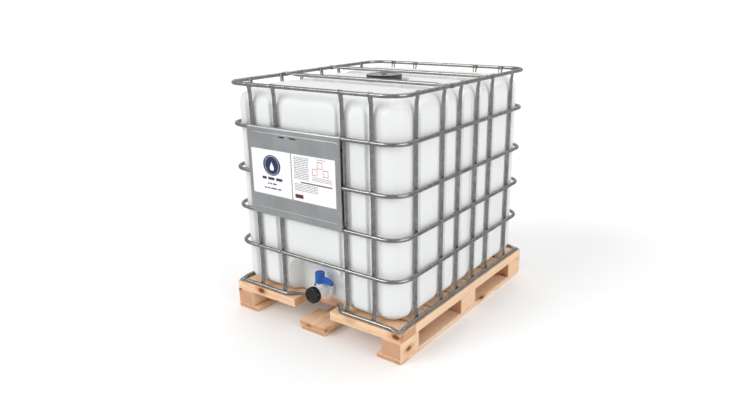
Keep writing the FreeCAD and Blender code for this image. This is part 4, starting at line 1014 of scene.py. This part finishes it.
def slab(outline, back_y, front_y):
    """A flat layer: the (x, z) outline at two depths, each closed on its middle."""
    outline = np.asarray(outline, float)
    rows_of = []
    for y, share in ((back_y, 0.0), (back_y, 1.0), (front_y, 1.0), (front_y, 0.0)):
        ring = outline.mean(0) + (outline - outline.mean(0)) * share
        rows_of.append(np.column_stack([ring[:, 0], np.full(len(ring), y), ring[:, 1]]))
    return np.array(rows_of), ring_faces(4, len(outline))


def bar_outline(x0, x1, z0, z1, turn_r):
    """A rectangle with rounded corners."""
    return corners_rounded([(x0, z0), (x1, z0), (x1, z1), (x0, z1)], [turn_r] * 4)


def text_line(x0, x1, z, height, rng, word=4.5):
    """A line of short bars, each `word` times its height long on average."""
    shapes, at = [], x0
    while at < x1 - height:
        length = min(height * word * rng.uniform(0.5, 1.4), x1 - at)
        shapes.append(bar_outline(at, at + length, z - height / 2, z + height / 2, height * 0.3))
        at += length + height * 0.8
    return shapes


# White film and four inks: slightly mottled by the press, with an even, half-gloss face.
film_white = mottled("white_label_film", 220.0, 4.0, "#f7f8f8", "#fefefe", 0.30, 0.45, 0.0, 0.08)
ink_navy = mottled("navy_ink", 220.0, 4.0, "#14284a", "#1c3560", 0.34, 0.49, 0.0, 0.08)
ink_grey = mottled("grey_ink", 220.0, 4.0, "#6d7073", "#85888b", 0.40, 0.55, 0.0, 0.08)
ink_red = mottled("red_ink", 220.0, 4.0, "#c01f2c", "#d8323c", 0.36, 0.51, 0.0, 0.08)
ink_maroon = mottled("maroon_ink", 220.0, 4.0, "#5a1f2a", "#6c2933", 0.38, 0.53, 0.0, 0.08)

left_low, left_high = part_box("label_left")
right_low, right_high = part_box("label_right")
FILM_BACK, FILM_FRONT = -PLATE_FRONT + 0.0001, left_low.y
for name, (low, high) in {"left": (left_low, left_high), "right": (right_low, right_high)}.items():
    edge = bar_outline(low.x, high.x, low.z, high.z, 0.004)
    make_piece("label_film_" + name, [slab(edge, FILM_BACK, FILM_FRONT)], "container", film_white,
               ["label_" + name], 30.0)

INK = 0.00012


def print_on_film(name, ink, shapes):
    """Lays flat shapes on the film as one piece, each sunk in it by as much as it stands out."""
    shells = [slab(shape, FILM_FRONT + INK, FILM_FRONT - INK) for shape in shapes]
    make_piece(name, shells, "container", ink)


around = np.linspace(0, 2 * math.pi, 64, endpoint=False)
DISC = np.array([-0.204, 0.784])
DISC_HALF = (0.054, 0.048)
rng = np.random.default_rng(11)
disc_outline = DISC + DISC_HALF * np.stack([np.cos(around), np.sin(around)], 1)
title = text_line(-0.268, -0.142, 0.7215, 0.0125, rng, 3.4)
lines = text_line(-0.236, -0.180, 0.6975, 0.0065, rng,
                  3.0) + text_line(-0.258, -0.152, 0.6755, 0.006, rng)
print_on_film("printing_navy", ink_navy, [disc_outline] + title + lines)
drop = DISC + (0, -0.003) + 0.021 * np.stack([np.sin(around) * np.sin(around / 2) ** 2 * 0.95,
                                               np.cos(around)], 1)
ring_outer = np.array([(0.0432, 0.0), (0.0432, 2.6 * INK), (0.0418, 2.6 * INK), (0.0418, 0.0)])
disc_ring = solid_of_turn(ring_outer, (DISC[0], FILM_FRONT, DISC[1]), FORWARD, 64, None, True)
white_shells = [slab(drop, FILM_FRONT, FILM_FRONT - 2.2 * INK), disc_ring]
make_piece("printing_white", white_shells, "container", film_white)

grey_shapes = []
for z in np.arange(0.842, 0.742, -0.0078):
    grey_shapes += text_line(-0.066, 0.020, z, 0.0032, rng)
for z in (0.764, 0.757, 0.750):
    grey_shapes += text_line(0.040, 0.150, z, 0.0024, rng)
for z in np.arange(0.722, 0.688, -0.0072):
    grey_shapes += text_line(-0.066, 0.070, z, 0.0028, rng)
grey_shapes += text_line(0.066, 0.118, 0.8455, 0.0030, rng)
print_on_film("printing_grey", ink_grey, grey_shapes)
SQUARE, LINE = 0.030, 0.0026
red_shapes = []
for x, z in ((0.070, 0.8060), (0.040, 0.7730), (0.102, 0.7730)):
    for x0, z0, x1, z1 in ((0, 0, SQUARE, LINE), (0, SQUARE - LINE, SQUARE, SQUARE),
                           (0, LINE, LINE, SQUARE - LINE),
                           (SQUARE - LINE, LINE, SQUARE, SQUARE - LINE)):
        red_shapes.append(bar_outline(x + x0, x + x1, z + z0, z + z1, 0.0004))
print_on_film("printing_red", ink_red, red_shapes)
print_on_film("printing_maroon", ink_maroon, [bar_outline(-0.030, 0.152, 0.7290, 0.7345, 0.001),
                                              bar_outline(-0.066, -0.018, 0.656, 0.674, 0.002)])


# ---- Lid ----
# A screw lid moulded in black polyethylene, ribbed for grip, with a shallow recess in its top
# and a snap-in vent plug in the middle, on a flat rubber gasket.

def grips(count, depth, outer, share=0.5):
    """Ripple that leaves `count` raised ribs: the radius drops by `depth` between them."""
    def ripple(angle, radius, rise):
        beat = 0.5 + 0.5 * np.cos(count * angle)
        gap = 1 - smooth(beat, share - 0.28, share + 0.28)
        return np.where(radius > outer - 0.0016, -depth * gap, 0.0)
    return ripple


def moulded_plastic(name, dark, light, gloss, grain_mm=1.0, subsurface=0.0, coat=0.0):
    """A moulded plastic: slight flow marks, a fine spark-eroded grain and half-gloss."""
    material, tree, shader = new_material(name)
    where = add(tree, "TexCoord").outputs["Object"]
    flow = add(tree, "TexNoise", {"Vector": where, "Scale": 28.0, "Detail": 4.0, "Distortion": 0.8})
    grain_of = add(tree, "TexNoise", {"Vector": where, "Scale": 1000.0 / grain_mm, "Detail": 2.0})
    colour = add(tree, "Mix", {0: flow, 6: linear(dark), 7: linear(light)}, data_type="RGBA")
    rough_of = add(tree, "MapRange", {"Value": flow, "From Min": 0.3, "From Max": 0.7,
                                      "To Min": gloss, "To Max": gloss + 0.14})
    lift = add(tree, "Bump", {"Height": grain_of, "Strength": 0.12, "Distance": 0.0003})
    wire(tree, shader, {"Base Color": colour, "Roughness": rough_of, "Normal": lift, "IOR": 1.52,
                        "Subsurface Weight": subsurface, "Coat Weight": coat,
                        "Subsurface Radius": (0.006, 0.006, 0.006)})
    if coat:
        wire(tree, shader, {"Coat Roughness": 0.10})
    return material


# Black polyethylene, polished by its mould: near black, with a second, sharper shine on top.
lid_black = moulded_plastic("black_polyethylene", "#0b0b0c", "#151617", 0.16, coat=0.8)
lid_low, lid_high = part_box("lid")
LID_R, LID_Z0, LID_Z1 = lid_high.x, lid_low.z, lid_high.z
lid_profile = rings_of([(0.006, LID_Z1 - 0.005), (0.081, LID_Z1 - 0.005), (0.081, LID_Z0),
                        (LID_R, LID_Z0), (LID_R, LID_Z0 + 0.020), (LID_R, LID_Z1 - 0.0030),
                        (0.0846, LID_Z1 - 0.0006), (0.0822, LID_Z1), (0.0705, LID_Z1),
                        (0.0690, LID_Z1 - 0.002), (0.0172, LID_Z1 - 0.002),
                        (0.0164, LID_Z1 - 0.0012), (0.0148, LID_Z1 - 0.0012),
                        (0.0140, LID_Z1 - 0.002), (0.006, LID_Z1 - 0.002)], 0.0004)
lid_shell = solid_of_turn(lid_profile, (0, 0, 0), (0, 0, 1), 324, grips(36, 0.0024, LID_R), True)
make_piece("screw_lid", [lid_shell], "lid", lid_black, ["lid"], 42.0)

# Grey polypropylene, moulded with a fine texture: duller than the lid.
vent_grey = moulded_plastic("grey_polypropylene", "#1d1f21", "#2a2c2e", 0.38)
vent_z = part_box("lid_vent_plug")
vent_profile = rings_of([(0.0, vent_z[0].z), (0.0058, vent_z[0].z), (0.0060, LID_Z1 - 0.002),
                         (0.0120, LID_Z1 - 0.002), (0.0120, vent_z[1].z - 0.0009),
                         (0.0104, vent_z[1].z), (0.0062, vent_z[1].z),
                         (0.0054, vent_z[1].z - 0.0012), (0.0, vent_z[1].z - 0.0012)], 0.0004)
vent_shell = solid_of_turn(vent_profile, (0, 0, 0), (0, 0, 1), 96, grips(16, 0.0008, 0.012))
make_piece("vent_plug", [vent_shell], "lid", vent_grey, ["lid_vent_plug"], 40.0)

# EPDM rubber for every seal: soft black, dusty with talc, dull.
rubber = mottled("epdm_rubber", 300.0, 4.0, "#141414", "#2b2b2a", 0.6, 0.9)


def finish_node(name, material):
    """Gives a CAD node that keeps its own shape its real material."""
    for place in nodes[name].material_slots:
        place.material = material


for name in ("lid_gasket", "valve_gasket", "dust_cap_gasket", "stem_oring"):
    finish_node(name, rubber)


# ---- Valve ----
# A butterfly valve moulded in white polyethylene: its flange is drawn against the stub by a
# ribbed union nut, its spigot is threaded for the cap, and a neck carries the stem.

# White polyethylene: slightly translucent, half-matt, with faint flow marks.
valve_white = moulded_plastic("white_polyethylene", "#e4e5e4", "#f1f1ef", 0.32, 1.2, 0.2)
nut_low, nut_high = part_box("union_nut")
NUT_BACK, NUT_END, NUT_R = -nut_high.y, -nut_low.y, nut_high.x
nut_profile = rings_of([(0.0313, NUT_BACK), (NUT_R - 0.003, NUT_BACK), (NUT_R, NUT_BACK + 0.003),
                        (NUT_R, NUT_END - 0.002), (NUT_R - 0.002, NUT_END), (0.0393, NUT_END),
                        (0.0393, NUT_BACK + 0.004), (0.0313, NUT_BACK + 0.004)], 0.0007)
nut_grips = grips(12, 0.0030, NUT_R, 0.42)
nut_shell = solid_of_turn(nut_profile, OUTLET, FORWARD, 192, nut_grips, True)
make_piece("union_nut_ribbed", [nut_shell], "container", valve_white,
           ["union_nut"], 40.0)

valve_low, valve_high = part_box("valve_body")
BODY_BACK, SPIGOT_END, NECK_TOP = -valve_high.y, -valve_low.y, valve_high.z
SPIGOT_R, SPIGOT_BACK = 0.030, SPIGOT_END - 0.028
STEM_Y, STEM_HOLE = -(BODY_BACK + 0.034), 0.0061
spigot_rise = np.linspace(SPIGOT_BACK + 0.0006, SPIGOT_END - 0.0012, 44)
barrel_rise = np.linspace(BODY_BACK + 0.014, SPIGOT_BACK - 0.001, 6)
body_profile = np.concatenate([
    [(BORE_R, BODY_BACK), (FLANGE_R - 0.0005, BODY_BACK), (FLANGE_R, BODY_BACK + 0.0006),
     (FLANGE_R, BODY_BACK + 0.0054), (FLANGE_R - 0.0006, BODY_BACK + 0.006),
     (STUB_R + 0.0016, BODY_BACK + 0.006), (STUB_R + 0.0004, BODY_BACK + 0.0072),
     (STUB_R, BODY_BACK + 0.009)],
    np.stack([np.full(6, STUB_R), barrel_rise], 1), [(STUB_R - 0.0006, SPIGOT_BACK)],
    np.stack([np.full(44, SPIGOT_R), spigot_rise], 1),
    [(SPIGOT_R - 0.001, SPIGOT_END), (BORE_R + 0.001, SPIGOT_END), (BORE_R, SPIGOT_END - 0.001)]])
spigot_thread = screw_thread(SPIGOT_BACK + 0.004, SPIGOT_END - 0.001, SPIGOT_R, 0.006, 0.0014)


def spigot_only(angle, radius, rise):
    """The spigot's thread, kept off the flange and barrel."""
    return np.where(rise > SPIGOT_BACK, spigot_thread(angle, radius, rise), 0.0)


barrel = solid_of_turn(body_profile, OUTLET, FORWARD, 96, spigot_only, True)
neck_outline = np.array([(STEM_HOLE, 0.2060), (0.0222, 0.2060), (0.0222, 0.2120), (0.0206, 0.2165),
                         (0.0192, 0.2200), (0.0190, NECK_TOP - 0.0032), (0.0190, NECK_TOP - 0.0006),
                         (0.0184, NECK_TOP), (0.0088, NECK_TOP), (0.0088, NECK_TOP - 0.0053),
                         (STEM_HOLE, NECK_TOP - 0.0053)])
neck_shell, neck_faces = solid_of_turn(neck_outline, (0, STEM_Y, 0), (0, 0, 1), 64, None, True)
saddle = OUTLET[2] + np.sqrt(0.0285 ** 2 - np.clip(neck_shell[..., 0], -0.0225, 0.0225) ** 2)
neck_shell[..., 2] = np.maximum(neck_shell[..., 2], saddle)
make_piece("valve_housing", [barrel, (neck_shell, neck_faces)], "container", valve_white,
           ["valve_body"], 38.0)

# Glass-filled black nylon for the stem and disc: even, dark and half-matt.
stem_plastic = moulded_plastic("black_nylon", "#17181a", "#242527", 0.34)
for name in ("valve_stem", "valve_disc"):
    finish_node(name, stem_plastic)
# Dark polypropylene for the tamper seal: thin, springy and slightly glossy.
seal_dark = moulded_plastic("dark_seal_polypropylene", "#26282c", "#3a3c40", 0.36)
finish_node("tamper_seal", seal_dark)


# ---- Lever ----
# The blue lever, moulded in one piece: a tall hub on the stem with a dished top, a flat arm
# with hollowed sides, and the nub of its lock.

# Blue polypropylene, coloured through: smooth and half-glossy.
lever_blue = moulded_plastic("blue_polypropylene", "#0f54a8", "#1a66be", 0.28)
lever_copy = bpy.data.meshes.new("lever_form")
merged = bmesh.new()
merged.from_mesh(nodes["valve_lever"].data)
bmesh.ops.remove_doubles(merged, verts=merged.verts, dist=1e-6)
merged.to_mesh(lever_copy)
merged.free()
form = bpy.data.objects.new("lever_form", lever_copy)
bpy.context.scene.collection.objects.link(form)
remesh = form.modifiers.new("even_grid", "REMESH")
remesh.mode = "VOXEL"
remesh.voxel_size = 0.0011
ease = form.modifiers.new("soft_edges", "SMOOTH")
ease.factor, ease.iterations = 0.5, 10
shaped = bpy.data.meshes.new_from_object(form.evaluated_get(bpy.context.evaluated_depsgraph_get()))
bpy.data.objects.remove(form)
lever_points = np.zeros(len(shaped.vertices) * 3)
shaped.vertices.foreach_get("co", lever_points)
lever_points = lever_points.reshape(-1, 3)
lever_quads = np.array([tuple(p.vertices) for p in shaped.polygons if len(p.vertices) == 4])
lever_low, lever_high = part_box("valve_lever")
DISH_DEPTH, HOLLOW_DEPTH, ARM_THINS_BY = 0.0016, 0.0016, 0.30
out_of = np.hypot(lever_points[:, 0], lever_points[:, 1] - STEM_Y)
near_top = smooth(lever_points[:, 2], lever_high.z - 0.004, lever_high.z - 0.001)
dish = (1 - smooth(out_of, 0.0150, 0.0175)) * near_top
lever_points[:, 2] -= DISH_DEPTH * dish
hollow = (smooth(lever_points[:, 0], 0.027, 0.031) * (1 - smooth(lever_points[:, 0], 0.066, 0.070))
          * smooth(lever_points[:, 2], lever_low.z + 0.005, lever_low.z + 0.008)
          * (1 - smooth(lever_points[:, 2], lever_low.z + 0.024, lever_low.z + 0.027)))
lever_points[:, 1] -= HOLLOW_DEPTH * hollow * np.sign(lever_points[:, 1] - STEM_Y)
along_arm = smooth(lever_points[:, 0], 0.026, lever_high.x)
lever_points[:, 2] -= (lever_points[:, 2] - lever_low.z) * ARM_THINS_BY * along_arm
make_piece("lever", [(lever_points, lever_quads)], "lever", lever_blue,
           ["valve_lever"], 60.0)


# ---- Dust cap ----
# A ribbed cap in black polyethylene, screwed on the spigot against a rubber gasket, with a
# raised glossy face.

# Black polyethylene again, from a finer mould: deep black with sharper highlights.
cap_black = moulded_plastic("glossy_black_polyethylene", "#060607", "#0e0f10", 0.18)
cap_low, cap_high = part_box("dust_cap")
CAP_BACK, CAP_FRONT, CAP_R = -cap_high.y, -cap_low.y, cap_high.x
cap_profile = rings_of([(0.0, CAP_FRONT - 0.004), (0.031, CAP_FRONT - 0.004), (0.031, CAP_BACK),
                        (CAP_R - 0.001, CAP_BACK), (CAP_R, CAP_BACK + 0.001),
                        (CAP_R, CAP_FRONT - 0.0045), (CAP_R - 0.0012, CAP_FRONT - 0.0024),
                        (0.0362, CAP_FRONT - 0.0018), (0.0352, CAP_FRONT), (0.0305, CAP_FRONT),
                        (0.0285, CAP_FRONT - 0.0015), (0.0, CAP_FRONT - 0.0008)], 0.0005)
cap_shell = solid_of_turn(cap_profile, OUTLET, FORWARD, 240, grips(20, 0.0022, CAP_R))
make_piece("spigot_cap", [cap_shell], "cap", cap_black, ["dust_cap"], 40.0)
